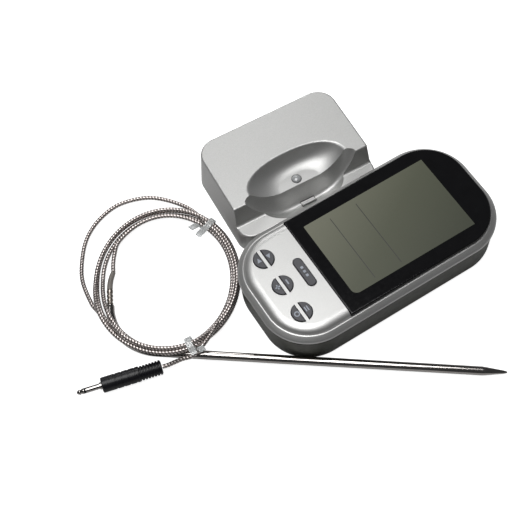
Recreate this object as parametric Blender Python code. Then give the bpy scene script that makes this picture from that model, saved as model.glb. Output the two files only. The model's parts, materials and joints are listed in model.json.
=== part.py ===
"""Meat thermometer: a handheld display, its countertop transmitter dock and a coiled probe lead.

Sizes are in millimetres and are turned into metres when a piece is finished.  The origin is on
the table, in the middle of the strip of the dock's underside in front of its battery door.  +Z is
up and X runs along the dock's width.
"""

import math

import bmesh
import bpy
from mathutils import Matrix, Vector

MM = 0.001

# ---------------------------------------------------------------- shared fits
SEAT = 0.15  # gap between pieces that are fixed together
CLEAR = 0.3  # gap around pieces that move or drop in
WALL = 2.0  # moulded wall of both housings
CORNER_STEPS = 6

# ---------------------------------------------------------------- cells, screws, boards
CELL_RADIUS = 5.25
CELL_LENGTH = 43.3
NUB_RADIUS = 1.9
NUB_LENGTH = 1.2
CELL_PITCH = 2 * CELL_RADIUS + 0.7
CONTACT_THICK = 0.5
SPRING_LENGTH = 3.0
SCREW_RADIUS = 1.1
SCREW_HEAD_RADIUS = 2.4
SCREW_HEAD_THICK = 1.3
SCREW_LENGTH = 9.0
BOSS_RADIUS = 2.7
BOSS_FOOT_WALL = 1.2  # around and over the pocket for a screw's head
BOARD_THICK = 1.4

# ---------------------------------------------------------------- handheld display
RECEIVER_X = 21.3
RECEIVER_GAP = 0.85  # room between the dock's foot and the display's back casing
RECEIVER_TURN = math.radians(3.53)
RECEIVER_LEFT = -71.3
RECEIVER_RIGHT = 49.1
RECEIVER_HALF_WIDTH = 30.6
RECEIVER_CORNER = 22.75
RECEIVER_HEIGHT = 23.3
RECEIVER_CORNER_STEPS = 10
BACK_INSET = 0.85  # the back casing stands in from the front one
PARTING_HEIGHT = 17.7  # underside of the front casing
FACE_THICK = 2.0
CREASE_INSET = 2.8
CREASE_DROP = 2.4
FACE_INSET = 6.3

LENS_LEFT = -38.7
LENS_INSET = 3.05
LENS_THICK = 2.15
LENS_BEVEL = 0.5
SCREEN_HALF_LENGTH = 33.0
SCREEN_HALF_WIDTH = 21.0
SCREEN_THICK = 2.4
ZEBRA_WIDTH = 2.2

KEY_COLUMN_X = -55.9
KEY_MIDDLE_Y = 0.8
KEY_PITCH = 15.5
KEY_RADIUS = 4.7
KEY_SPLIT = 1.9  # gap between the flat sides of a pair of keys
KEY_PROUD = 0.7
KEY_TRAVEL = 0.8
KEY_GAP = 0.25
KEY_FLANGE = 0.9
MODE_KEY_X = -44.3
MODE_KEY_Y = 1.0
MODE_KEY_HALF_LENGTH = 7.8
MODE_KEY_HALF_WIDTH = 2.1

RECEIVER_CELL_X = -3.5  # flat end of the cells
RECEIVER_DOOR_X = -8.0
RECEIVER_DOOR_HALF_WIDTH = 13.0
TRAY_WALL = 0.8

# ---------------------------------------------------------------- dock
DOCK_HALF_WIDTH = 35.4
DOCK_TOP_DEPTH = 39.9
DOCK_DEPTH = 50.8
DOCK_HEIGHT = 22.6
DOCK_BASE_DEPTH_EXTRA = 0.4
DOCK_SIDE_DRAFT = 1.4
DOCK_BACK_DRAFT = 1.2
LEDGE_HEIGHT = 11.5
STEP_LEAN = 1.9
BACK_CORNER = 9.3
FRONT_CORNER = 6.8
STEP_CORNER = 0.8
EDGE_ROUND = 0.8

CRADLE_LEAN = math.radians(16)
CRADLE_Y = -38.3  # bottom of the ridge between bowl and channel
CRADLE_Z = 15.0
CRADLE_FLAT = 7.9  # half of the straight stretch of the display's end
CRADLE_RADIUS = 22.0
CRADLE_WALL = 1.8
BOWL_BACK_Y = -23.9
BOWL_SQUARENESS = 2.2

LIGHT_Y = -35.0
LIGHT_RADIUS = 2.3
CATCH_X = 1.0
CATCH_Y = -44.4
CATCH_HALF_LENGTH = 3.8
CATCH_HALF_WIDTH = 1.6

DOCK_DOOR_HALF_WIDTH = CELL_LENGTH / 2 + 3.9
BASE_THICK = 2.0
DOCK_CELL_Y = -(WALL + 1.0 + CELL_RADIUS + CELL_PITCH / 2)  # midway between the two cells
DOCK_DOOR_FRONT_Y = DOCK_CELL_Y - CELL_PITCH / 2 - CELL_RADIUS - 2 * CLEAR
ORIGIN_Y = (DOCK_DOOR_FRONT_Y - CLEAR - DOCK_DEPTH + WALL) / 2
JACK_Y = -31.0
JACK_HEIGHT = 7.0
JACK_BORE = 1.35
SWITCH_Y = -13.0
SWITCH_HEIGHT = 7.0
DOCK_BOARD_HEIGHT = 8.9
DOCK_BOARD_HALF_LENGTH = 25.0
DOCK_BOARD_WIDTH = 10.2
MAT_CORNER = 6.0  # the keypad mat's own corners
SWITCH_TRAVEL = 1.5

# ---------------------------------------------------------------- probe lead
LEAD_TURN = math.radians(-23.98)
PROBE_RADIUS = 2.0
PROBE_BORE = 1.3
PROBE_TIP = (146.4, -60.4)
PROBE_TOUCH = (58.8, -46.75)  # where the straight stretch passes the display's corner
PROBE_RISE = 0.015  # the rear of the probe is propped up by the coil
PROBE_CONE = 11.0
BEND_RADIUS = 24.0
BEND_LEFT = -26.7
FERRULE_RADIUS = 1.45
FERRULE_LENGTH = 7.5
SLEEVE_RADIUS = 1.3

CABLE_DIAMETER = 2.1
COIL_RADIUS_X = 31.2
COIL_RADIUS_Y = 35.2
COIL_BUNDLE_RADIUS = 2.5
COIL_HEIGHT = 3.7
COIL_OVER_PROBE = 9.5
COIL_SWING = 0.53  # how far the raised stretch leans out, for each unit of its lift
COIL_LIFT_FROM = 174.0
COIL_LIFT_FULL = 202.0
COIL_LIFT_UNTIL = 288.0
COIL_LIFT_TO = 316.0

PLUG_REAR = (-4.4, -43.6)
PLUG_HEADING = math.radians(193.0)
PLUG_BODY_LENGTH = 27.5
PLUG_RADIUS = 3.5
PIN_RADIUS = 1.25
PIN_LENGTH = 11.3
TIE_WIDTH = 3.0
TIE_THICK = 0.5
TIE_WRAP = 285.0  # how far round the coil the strip goes

# Places that the loose cable passes, in the lead's own frame.
OUTER_LOOP_ROUTE = [
    (-32.4, -14.6, 7.2),
    (-35.3, -9.6, 6.6),
    (-39.0, 1.2, 4.8),
    (-39.8, 10.5, 3.5),
    (-38.6, 22.0, 2.3),
    (-35.7, 30.2, 1.6),
    (-30.6, 37.4, 1.2),
    (-23.5, 43.0, 1.15),
    (-15.2, 45.6, 1.15),
    (-6.4, 45.9, 1.15),
    (2.3, 43.2, 1.15),
    (9.8, 39.0, 1.4),
    (14.5, 34.5, 2.2),
]
TAIL_ROUTE = [
    (9.6, -41.3, 7.4),
    (5.2, -41.8, 6.2),
    (1.0, -42.5, 4.6),
    (-1.5, -43.0, 3.7),
    (-4.1, -43.53, 3.5),
]


# ---------------------------------------------------------------- modelling helpers
def clear_scene():
    """Remove every object of the open scene."""
    for item in list(bpy.data.objects):
        bpy.data.objects.remove(item, do_unlink=True)


def material(name, colour, roughness, metallic=0.0, alpha=1.0):
    """A Principled material with a plain finish."""
    made = bpy.data.materials.new(name)
    made.use_nodes = True
    shader = made.node_tree.nodes["Principled BSDF"]
    shader.inputs["Base Color"].default_value = (*colour, 1.0)
    shader.inputs["Roughness"].default_value = roughness
    shader.inputs["Metallic"].default_value = metallic
    shader.inputs["Alpha"].default_value = alpha
    return made


def from_bmesh(shape):
    """Turn a bmesh into a scratch object, its faces pointing out."""
    bmesh.ops.recalc_face_normals(shape, faces=shape.faces)
    mesh = bpy.data.meshes.new("scratch")
    shape.to_mesh(mesh)
    shape.free()
    made = bpy.data.objects.new("scratch", mesh)
    bpy.context.scene.collection.objects.link(made)
    return made


def loft(rings, closed=False):
    """Skin a stack of rings that have the same number of points, with flat ends or joined ends."""
    shape = bmesh.new()
    made = [[shape.verts.new(point) for point in ring] for ring in rings]
    pairs = list(zip(made, made[1:]))
    if closed:
        pairs.append((made[-1], made[0]))
    for low, high in pairs:
        count = len(low)
        for i in range(count):
            j = (i + 1) % count
            shape.faces.new((low[i], low[j], high[j], high[i]))
    if not closed:
        shape.faces.new(list(reversed(made[0])))
        shape.faces.new(made[-1])
    return from_bmesh(shape)


def carve(target, cutter, operation="DIFFERENCE"):
    """Apply an exact Boolean to target and remove the cutter."""
    cutter.display_type = "WIRE"
    cutter.hide_render = True
    step = target.modifiers.new("carve", "BOOLEAN")
    step.operation = operation
    step.solver = "EXACT"
    step.object = cutter
    bpy.context.view_layer.update()
    ready = target.evaluated_get(bpy.context.evaluated_depsgraph_get())
    mesh = bpy.data.meshes.new_from_object(ready)
    target.modifiers.clear()
    target.data = mesh
    bpy.data.objects.remove(cutter, do_unlink=True)
    return target


def merge(target, extra):
    """Unite two scratch objects."""
    return carve(target, extra, "UNION")


def finish(item, name, finish_material, parent, origin=(0.0, 0.0, 0.0), sharp=32):
    """Name a scratch object, scale it to metres and put its origin where it belongs."""
    shift = Matrix.Translation(-Vector(origin))
    item.data.transform(Matrix.Scale(MM, 4) @ shift)
    item.name = name
    item.data.name = name
    item.data.materials.clear()
    item.data.materials.append(finish_material)
    item.data.shade_smooth()
    item.data.set_sharp_from_angle(angle=math.radians(sharp))
    item.parent = parent
    item.location = Vector(origin) * MM
    return item


def outline(x0, x1, y0, y1, corners, z, steps=CORNER_STEPS):
    """A rounded rectangle; corners are the front-left, front-right, back-right, back-left radii."""
    centres = [
        (x0 + corners[0], y0 + corners[0], 180),
        (x1 - corners[1], y0 + corners[1], 270),
        (x1 - corners[2], y1 - corners[2], 0),
        (x0 + corners[3], y1 - corners[3], 90),
    ]
    points = []
    for (cx, cy, start), radius in zip(centres, corners):
        for i in range(steps + 1):
            angle = math.radians(start + 90 * i / steps)
            points.append((cx + radius * math.cos(angle), cy + radius * math.sin(angle), z))
    return points


def block(x0, x1, y0, y1, z0, z1, corner=0.4, steps=3, chamfer=0.0):
    """An upright block with rounded upright edges and, if asked, a chamfered top edge."""
    rings = [outline(x0, x1, y0, y1, [corner] * 4, z0, steps)]
    if chamfer:
        rings.append(outline(x0, x1, y0, y1, [corner] * 4, z1 - chamfer, steps))
        top = (x0 + chamfer, x1 - chamfer, y0 + chamfer, y1 - chamfer)
        rings.append(outline(*top, [max(corner - chamfer, 0.05)] * 4, z1, steps))
    else:
        rings.append(outline(x0, x1, y0, y1, [corner] * 4, z1, steps))
    return loft(rings)


def turned(profile, axis_point, heading, sides=20):
    """Turn (distance, radius) pairs about an axis that starts at axis_point."""
    along = Vector(heading).normalized()
    side = along.cross(Vector((0, 0, 1)))
    if side.length < 0.1:
        side = Vector((1, 0, 0))
    side.normalize()
    up = side.cross(along)
    rings = []
    for distance, radius in profile:
        centre = Vector(axis_point) + along * distance
        ring = []
        for i in range(sides):
            angle = math.tau * i / sides
            ring.append(centre + side * radius * math.cos(angle) + up * radius * math.sin(angle))
        rings.append(ring)
    return loft(rings)


def swept(path, radii, sides=14, closed=False):
    """A round tube along a path, with one radius for each point."""
    rings = []
    count = len(path)
    for i, (point, radius) in enumerate(zip(path, radii)):
        if closed:
            before, after = path[i - 1], path[(i + 1) % count]
        else:
            before, after = path[max(i - 1, 0)], path[min(i + 1, count - 1)]
        along = (Vector(after) - Vector(before)).normalized()
        side = along.cross(Vector((0, 0, 1))).normalized()
        up = side.cross(along)
        ring = []
        for j in range(sides):
            angle = math.tau * j / sides
            ring.append(Vector(point) + side * radius * math.cos(angle) + up * radius * math.sin(angle))
        rings.append(ring)
    return loft(rings, closed)


def ribbon(frames, width, thick):
    """A flat strip; each frame is its middle, its direction across and its outward direction."""
    rings = []
    for middle, across, outward in frames:
        wide = across.normalized() * width / 2
        deep = outward.normalized() * thick / 2
        rings.append(
            [middle - wide - deep, middle + wide - deep, middle + wide + deep, middle - wide + deep]
        )
    return loft(rings)


def eased_route(route, pieces=3):
    """Points of a smooth curve through the route's own points."""
    points = [Vector(point) for point in route]
    ends = [2 * points[0] - points[1]] + points + [2 * points[-1] - points[-2]]
    found = []
    for i in range(1, len(ends) - 2):
        before, here, there, after = ends[i - 1:i + 3]
        for step in range(pieces):
            t = step / pieces
            pull = (there - before) * t + (2 * before - 5 * here + 4 * there - after) * t ** 2
            pull += (3 * here - before - 3 * there + after) * t ** 3
            found.append(here + pull / 2)
    found.append(points[-1])
    return found


def cable(name, route, finish_material, parent):
    """A plain round cable on a poly curve."""
    curve = bpy.data.curves.new(name, "CURVE")
    curve.dimensions = "3D"
    curve.bevel_depth = CABLE_DIAMETER / 2 * MM
    curve.bevel_resolution = 2
    curve.use_fill_caps = True
    line = curve.splines.new("POLY")
    points = eased_route(route)
    line.points.add(len(points) - 1)
    for spot, point in zip(line.points, points):
        spot.co = (*(Vector(point) * MM), 1.0)
    curve.materials.append(finish_material)
    made = bpy.data.objects.new(name, curve)
    bpy.context.scene.collection.objects.link(made)
    made.parent = parent
    return made


def place(name, spot, turn):
    """An empty that carries one of the loose assemblies."""
    made = bpy.data.objects.new(name, None)
    bpy.context.scene.collection.objects.link(made)
    made.location = (spot[0] * MM, spot[1] * MM, 0.0)
    made.rotation_euler = (0.0, 0.0, turn)
    return made


# ---------------------------------------------------------------- small bought-in pieces
def make_cell(name, flat_end, heading, parent):
    """A cell with its raised contact, lying along X."""
    profile = [
        (0.0, CELL_RADIUS - 0.9),
        (0.3, CELL_RADIUS),
        (CELL_LENGTH - 0.5, CELL_RADIUS),
        (CELL_LENGTH, CELL_RADIUS - 0.7),
        (CELL_LENGTH, NUB_RADIUS),
        (CELL_LENGTH + NUB_LENGTH, NUB_RADIUS - 0.2),
    ]
    cell = turned(profile, flat_end, heading, 16)
    finish(cell, name, material(name, (0.20, 0.22, 0.23), 0.35, 0.6), parent, flat_end)


def make_spring(name, start, heading, parent):
    """A tapered contact spring along X."""
    turns, steps = 3, 8
    count = turns * steps + 1
    along = Vector(heading)
    path = []
    for i in range(count):
        share = i / (count - 1)
        angle = math.tau * turns * share
        radius = 3.4 - 1.4 * share
        around = Vector((0.0, math.cos(angle), math.sin(angle))) * radius
        path.append(Vector(start) + along * (0.35 + (SPRING_LENGTH - 0.6) * share) + around)
    rings = []
    for i, point in enumerate(path):
        tangent = (path[min(i + 1, count - 1)] - path[max(i - 1, 0)]).normalized()
        side = tangent.cross(along).normalized()
        up = side.cross(tangent)
        ring = []
        for j in range(5):
            angle = math.tau * j / 5
            ring.append(point + (side * math.cos(angle) + up * math.sin(angle)) * 0.28)
        rings.append(ring)
    spring = loft(rings)
    finish(spring, name, material(name, (0.72, 0.70, 0.62), 0.25, 1.0), parent, start, 60)


def make_screw(name, x, y, head_z, parent):
    """A pan-head screw that is driven in from below."""
    profile = [
        (0.0, SCREW_HEAD_RADIUS - 0.4),
        (0.35, SCREW_HEAD_RADIUS),
        (SCREW_HEAD_THICK, SCREW_HEAD_RADIUS),
        (SCREW_HEAD_THICK, SCREW_RADIUS),
        (SCREW_LENGTH - 0.8, SCREW_RADIUS),
        (SCREW_LENGTH, 0.35),
    ]
    screw = turned(profile, (x, y, head_z), (0, 0, 1), 14)
    for across in (0, 1):
        half = (1.5, 0.3) if across else (0.3, 1.5)
        slot = block(x - half[0], x + half[0], y - half[1], y + half[1], head_z - 1, head_z + 0.6, 0.05, 1)
        carve(screw, slot)
    finish(screw, name, material(name, (0.55, 0.56, 0.58), 0.3, 1.0), parent, (x, y, head_z))


def boss(x, y, z0, z1):
    """A round post for a screw."""
    return turned([(0, BOSS_RADIUS), (z1 - z0, BOSS_RADIUS)], (x, y, z0), (0, 0, 1), 18)


def bore(x, y, z0, z1, radius):
    """A round cutter along Z."""
    return turned([(0, radius), (z1 - z0, radius)], (x, y, z0), (0, 0, 1), 18)


# ---------------------------------------------------------------- handheld display
def receiver_ring(inset, z):
    """The display's plan outline, drawn in by inset."""
    radius = RECEIVER_CORNER - inset
    half = RECEIVER_HALF_WIDTH - inset
    box = (RECEIVER_LEFT + inset, RECEIVER_RIGHT - inset, -half, half)
    return outline(*box, [radius] * 4, z, RECEIVER_CORNER_STEPS)


RECEIVER_SCREWS = [
    (KEY_COLUMN_X - KEY_RADIUS - 4.4, KEY_MIDDLE_Y),
    (RECEIVER_RIGHT - 10.9, 11.6 - RECEIVER_HALF_WIDTH),
    (RECEIVER_RIGHT - 10.9, RECEIVER_HALF_WIDTH - 11.6),
]
CREASE_HEIGHT = RECEIVER_HEIGHT - CREASE_DROP
LENS_SEAT = RECEIVER_HEIGHT - LENS_THICK - SEAT
LENS_SIDE_CEILING = LENS_SEAT - 1.6
KEY_CEILING = RECEIVER_HEIGHT - FACE_THICK
CELL_FLOOR = WALL + 0.5
CELL_AXIS = CELL_FLOOR + CELL_RADIUS
TRAY_TOP = CELL_AXIS + CELL_RADIUS + CLEAR + TRAY_WALL
BOARD_HEIGHT = TRAY_TOP + CLEAR
BOARD_TOP = BOARD_HEIGHT + BOARD_THICK
BACK_TOP = PARTING_HEIGHT - CLEAR
SCREEN_TOP = LENS_SEAT - SEAT
SCREEN_BOTTOM = SCREEN_TOP - SCREEN_THICK
KEY_FLANGE_TOP = KEY_CEILING - CLEAR
KEY_BOTTOM = KEY_FLANGE_TOP - 0.6
MAT_TOP = KEY_BOTTOM - KEY_TRAVEL - CLEAR
RECEIVER_CELL_END = RECEIVER_CELL_X + CELL_LENGTH + NUB_LENGTH
BOSS_JOINT = CELL_AXIS + 4.5


def half_disc(x, y, side, radius, offset, z, flange=0.0):
    """One of a pair of keys: side is -1 for the left one and +1 for the right one."""
    flat = offset / 2
    reach = math.acos(flat / radius)
    points = []
    for i in range(13):
        angle = -reach + 2 * reach * i / 12
        grown = radius + flange
        px = x + side * max(grown * math.cos(angle), flat)
        points.append((px, y + grown * math.sin(angle), z))
    return points if side > 0 else list(reversed(points))


def pill(x, y, half_width, half_length, z):
    """The long key's outline."""
    box = (x - half_width, x + half_width, y - half_length, y + half_length)
    return outline(*box, [half_width - 0.01] * 4, z, 5)


def key_pairs():
    """The three round pairs of keys, as (name, y, side)."""
    names = [("upper", 1), ("middle", 0), ("lower", -1)]
    found = []
    for word, row in names:
        y = KEY_MIDDLE_Y + row * KEY_PITCH
        found.append((f"key_{word}_left", y, -1))
        found.append((f"key_{word}_right", y, 1))
    return found


def make_front_casing(parent):
    profile = [
        (0.35, PARTING_HEIGHT),
        (0.0, PARTING_HEIGHT + 0.4),
        (0.0, PARTING_HEIGHT + 0.9),
        (0.3, PARTING_HEIGHT + 1.8),
        (0.95, PARTING_HEIGHT + 2.5),
        (1.8, PARTING_HEIGHT + 2.95),
        (CREASE_INSET, CREASE_HEIGHT),
        (CREASE_INSET + 0.25, CREASE_HEIGHT + 0.45),
        (CREASE_INSET + 0.7, CREASE_HEIGHT + 1.25),
        (CREASE_INSET + 1.45, CREASE_HEIGHT + 1.9),
        (CREASE_INSET + 2.4, CREASE_HEIGHT + 2.27),
        (FACE_INSET, RECEIVER_HEIGHT),
    ]
    casing = loft([receiver_ring(inset, z) for inset, z in profile])
    hollow = [
        (WALL, PARTING_HEIGHT - 1),
        (WALL, PARTING_HEIGHT + 0.6),
        (WALL + 2.0, LENS_SIDE_CEILING),
    ]
    carve(casing, loft([receiver_ring(inset, z) for inset, z in hollow]))
    key_room = (RECEIVER_LEFT + 5.2, LENS_LEFT - 1.8, -23.5, 23.5)
    carve(casing, loft([
        outline(*key_room, [15.0, 2.0, 2.0, 15.0], LENS_SIDE_CEILING - 1),
        outline(*key_room, [15.0, 2.0, 2.0, 15.0], KEY_CEILING),
    ]))
    carve(casing, block(LENS_LEFT - SEAT, 70, -40, 40, LENS_SEAT, 30, 0.05, 1))
    window = (SCREEN_HALF_LENGTH + CLEAR, SCREEN_HALF_WIDTH + CLEAR)
    carve(casing, block(-window[0], window[0], -window[1], window[1], 10, 30, 0.5, 2))
    for _, y, side in key_pairs():
        shape = (KEY_COLUMN_X, y, side, KEY_RADIUS + KEY_GAP, KEY_SPLIT - 2 * KEY_GAP)
        carve(casing, loft([half_disc(*shape, 15), half_disc(*shape, 30)]))
    slot = (MODE_KEY_X, MODE_KEY_Y, MODE_KEY_HALF_WIDTH + KEY_GAP, MODE_KEY_HALF_LENGTH + KEY_GAP)
    carve(casing, loft([pill(*slot, 15), pill(*slot, 30)]))
    for (x, y), ceiling in zip(RECEIVER_SCREWS, (KEY_CEILING, LENS_SIDE_CEILING, LENS_SIDE_CEILING)):
        merge(casing, boss(x, y, BOSS_JOINT + CLEAR, ceiling + 0.5))
        carve(casing, bore(x, y, 5, BOSS_JOINT + 4, SCREW_RADIUS + SEAT))
    finish(casing, "front_casing", material("front_casing", (0.52, 0.52, 0.51), 0.35), parent)


def lens_ring(inset, z):
    """The lens panel's outline: straight at the left, the casing's curve at the right."""
    grown = LENS_INSET + inset
    half = RECEIVER_HALF_WIDTH - grown
    radius = RECEIVER_CORNER - grown
    corners = [0.5, radius, radius, 0.5]
    box = (LENS_LEFT + inset, RECEIVER_RIGHT - grown, -half, half)
    return outline(*box, corners, z, RECEIVER_CORNER_STEPS)


def make_lens_panel(parent):
    base = LENS_SEAT + SEAT
    rings = [
        lens_ring(0.0, base),
        lens_ring(0.0, RECEIVER_HEIGHT - LENS_BEVEL),
        lens_ring(LENS_BEVEL * 0.35, RECEIVER_HEIGHT - LENS_BEVEL * 0.3),
        lens_ring(LENS_BEVEL, RECEIVER_HEIGHT),
    ]
    finish(loft(rings), "lens_panel", material("lens_panel", (0.012, 0.012, 0.012), 0.05), parent)


def make_screen(parent):
    half = (SCREEN_HALF_LENGTH, SCREEN_HALF_WIDTH)
    glass = block(-half[0], half[0], -half[1], half[1], SCREEN_BOTTOM, SCREEN_TOP, 0.5, 2)
    finish(glass, "lcd_glass", material("lcd_glass", (0.17, 0.18, 0.12), 0.25), parent)
    for word, side in (("front", -1), ("back", 1)):
        y = side * (SCREEN_HALF_WIDTH - ZEBRA_WIDTH)
        wide = ZEBRA_WIDTH / 2
        box = (-half[0] + 2, half[0] - 2, y - wide, y + wide)
        strip = block(*box, BOARD_TOP + SEAT, SCREEN_BOTTOM - SEAT, 0.2, 1)
        name = f"zebra_strip_{word}"
        finish(strip, name, material(name, (0.35, 0.30, 0.32), 0.7), parent)


def make_keys(parent):
    top = RECEIVER_HEIGHT + KEY_PROUD
    for name, y, side in key_pairs():
        shape = (KEY_COLUMN_X, y, side, KEY_RADIUS, KEY_SPLIT)
        crown = (KEY_COLUMN_X, y, side, KEY_RADIUS - 0.3, KEY_SPLIT + 0.6)
        key = loft([
            half_disc(*shape, KEY_BOTTOM, KEY_FLANGE),
            half_disc(*shape, KEY_FLANGE_TOP, KEY_FLANGE),
            half_disc(*shape, KEY_FLANGE_TOP),
            half_disc(*shape, top - 0.3),
            half_disc(*crown, top),
        ])
        middle = (KEY_COLUMN_X + side * KEY_RADIUS / 2, y, top)
        finish(key, name, material(name, (0.075, 0.075, 0.082), 0.5), parent, middle)
    half = (MODE_KEY_HALF_WIDTH, MODE_KEY_HALF_LENGTH)
    spot = (MODE_KEY_X, MODE_KEY_Y)
    key = loft([
        pill(*spot, half[0] + KEY_FLANGE, half[1] + KEY_FLANGE, KEY_BOTTOM),
        pill(*spot, half[0] + KEY_FLANGE, half[1] + KEY_FLANGE, KEY_FLANGE_TOP),
        pill(*spot, *half, KEY_FLANGE_TOP),
        pill(*spot, *half, top - 0.3),
        pill(*spot, half[0] - 0.3, half[1] - 0.3, top),
    ])
    finish(key, "key_mode", material("key_mode", (0.075, 0.075, 0.082), 0.5), parent, (*spot, top))


def make_keypad_mat(parent):
    left = KEY_COLUMN_X - KEY_RADIUS - 1.5
    right = MODE_KEY_X + MODE_KEY_HALF_WIDTH + 1.5
    reach = KEY_PITCH + KEY_RADIUS + 1.0
    sheet_top = BOARD_TOP + SEAT + 1.2
    ends = (KEY_MIDDLE_Y - reach, KEY_MIDDLE_Y + reach)
    mat = block(left, right, *ends, BOARD_TOP + SEAT, sheet_top, MAT_CORNER, 4)
    posts = [(KEY_COLUMN_X + side * (KEY_RADIUS + 0.6) / 2, y) for _, y, side in key_pairs()]
    posts.append((MODE_KEY_X, MODE_KEY_Y))
    for x, y in posts:
        cone = [(0, 1.9), (MAT_TOP - sheet_top + 0.5, 1.4)]
        merge(mat, turned(cone, (x, y, sheet_top - 0.5), (0, 0, 1), 14))
    finish(mat, "keypad_mat", material("keypad_mat", (0.30, 0.30, 0.30), 0.8), parent)


def make_main_board(parent):
    box = (RECEIVER_LEFT + 11.0, RECEIVER_RIGHT - 15.0, -24.5, 24.5)
    board = block(*box, BOARD_HEIGHT, BOARD_TOP, 6.0, 4)
    finish(board, "main_board", material("main_board", (0.03, 0.16, 0.07), 0.45), parent)
    spot = (-26.0, 0.0, BOARD_HEIGHT - SEAT)
    profile = [(0, 6.0), (3.4, 6.0), (3.4, 5.4), (4.0, 5.4)]
    sounder = turned(profile, spot, (0, 0, -1), 24)
    finish(sounder, "sounder", material("sounder", (0.03, 0.03, 0.03), 0.5), parent, spot)
    route = [(-14.0, 22.0, 9.0), (4.0, 22.0, 9.0), (22.0, 22.0, 9.0)]
    aerial = swept(route, [0.5] * 3, 8)
    finish(aerial, "receiver_aerial", material("receiver_aerial", (0.62, 0.30, 0.16), 0.3, 1.0), parent)


def back_casing_solid():
    """The back casing's outside, before it is hollowed."""
    profile = [
        (2.8, 0.0),
        (2.1, 0.15),
        (1.55, 0.6),
        (1.2, 1.4),
        (BACK_INSET + 0.15, 3.0),
        (BACK_INSET, 13.0),
        (BACK_INSET, BACK_TOP - 1.0),
        (1.5, BACK_TOP - 0.9),
        (1.5, BACK_TOP),
    ]
    return loft([receiver_ring(inset, z) for inset, z in profile])


def receiver_door_cutter(gap, top):
    """The space that the battery door takes in the back casing's floor."""
    half = RECEIVER_DOOR_HALF_WIDTH + gap
    return block(RECEIVER_DOOR_X - gap, RECEIVER_RIGHT + 10, -half, half, -2, top, 0.3, 2)


def make_back_casing(parent):
    casing = back_casing_solid()
    hollow = [
        (WALL + 2.2, WALL),
        (WALL + 1.2, WALL + 0.6),
        (WALL + 0.9, WALL + 2),
        (WALL + 0.9, BACK_TOP + 1),
    ]
    carve(casing, loft([receiver_ring(inset, z) for inset, z in hollow]))
    carve(casing, receiver_door_cutter(0.0, WALL + 0.2))
    pocket = SCREW_HEAD_THICK + 0.8
    foot_radius = SCREW_HEAD_RADIUS + CLEAR + BOSS_FOOT_WALL
    foot_top = pocket + BOSS_FOOT_WALL
    for x, y in RECEIVER_SCREWS:
        merge(casing, boss(x, y, WALL - 0.5, BOSS_JOINT))
        merge(casing, bore(x, y, WALL - 0.4, foot_top, foot_radius))
        carve(casing, bore(x, y, -1, pocket, SCREW_HEAD_RADIUS + CLEAR))
        carve(casing, bore(x, y, 0, 30, SCREW_RADIUS + CLEAR))
    finish(casing, "back_casing", material("back_casing", (0.068, 0.070, 0.058), 0.5), parent)
    for i, (x, y) in enumerate(RECEIVER_SCREWS):
        make_screw(f"receiver_screw_{i + 1}", x, y, 0.5, parent)


def make_receiver_door(parent):
    door = back_casing_solid()
    carve(door, receiver_door_cutter(-CLEAR, WALL - 0.1), "INTERSECT")
    ridge_x = RECEIVER_DOOR_X + 9.0
    for i in range(4):
        x = ridge_x + 1.8 * i
        carve(door, block(x, x + 0.8, -6, 6, -1, 0.35, 0.1, 1))
    place_at = (RECEIVER_DOOR_X, 0.0, 0.0)
    finish(door, "receiver_battery_door", material("receiver_battery_door", (0.068, 0.070, 0.058), 0.5),
           parent, place_at)


def make_receiver_cells(parent):
    inner = (RECEIVER_CELL_X - SPRING_LENGTH - CONTACT_THICK - 2 * SEAT,
             RECEIVER_CELL_END + SEAT + CONTACT_THICK + SEAT)
    half = CELL_PITCH / 2 + CELL_RADIUS + CLEAR
    tray = block(inner[0] - TRAY_WALL, inner[1] + TRAY_WALL, -half - TRAY_WALL, half + TRAY_WALL,
                 CELL_FLOOR, TRAY_TOP, 0.5, 2)
    carve(tray, block(inner[0], inner[1], -half, half, 0, TRAY_TOP - TRAY_WALL, 0.2, 1))
    finish(tray, "battery_tray", material("battery_tray", (0.05, 0.05, 0.05), 0.6), parent)
    low, high = CELL_FLOOR + 1.5, TRAY_TOP - TRAY_WALL - 1.0
    reach = half - 0.6
    left = block(inner[0] + SEAT, inner[0] + SEAT + CONTACT_THICK, -reach, reach, low, high, 0.1, 1)
    plate = material("receiver_contact_left", (0.7, 0.68, 0.6), 0.25, 1.0)
    finish(left, "receiver_contact_left", plate, parent)
    right = block(inner[1] - SEAT - CONTACT_THICK, inner[1] - SEAT, -reach, reach, low, high, 0.1, 1)
    plate = material("receiver_contact_right", (0.7, 0.68, 0.6), 0.25, 1.0)
    finish(right, "receiver_contact_right", plate, parent)
    for word, y in (("front", -CELL_PITCH / 2), ("back", CELL_PITCH / 2)):
        make_cell(f"receiver_cell_{word}", (RECEIVER_CELL_X, y, CELL_AXIS), (1, 0, 0), parent)
        start = (inner[0] + SEAT + CONTACT_THICK, y, CELL_AXIS)
        make_spring(f"receiver_spring_{word}", start, (1, 0, 0), parent)


# ---------------------------------------------------------------- dock
def dock_lean(z):
    """How far the dock's walls have spread at height z, as a share of the draft."""
    return 1 - z / DOCK_HEIGHT



def low_ring(inset, z):
    """The whole footprint's outline at height z."""
    half = DOCK_HALF_WIDTH + DOCK_SIDE_DRAFT * dock_lean(z) - inset
    back = DOCK_BACK_DRAFT * dock_lean(z) - inset
    front = -DOCK_DEPTH - DOCK_BASE_DEPTH_EXTRA * (1 - z / LEDGE_HEIGHT) + inset
    corners = [max(FRONT_CORNER - inset, 0.5)] * 2 + [max(BACK_CORNER - inset, 0.5)] * 2
    return outline(-half, half, front, back, corners, z)


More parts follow.
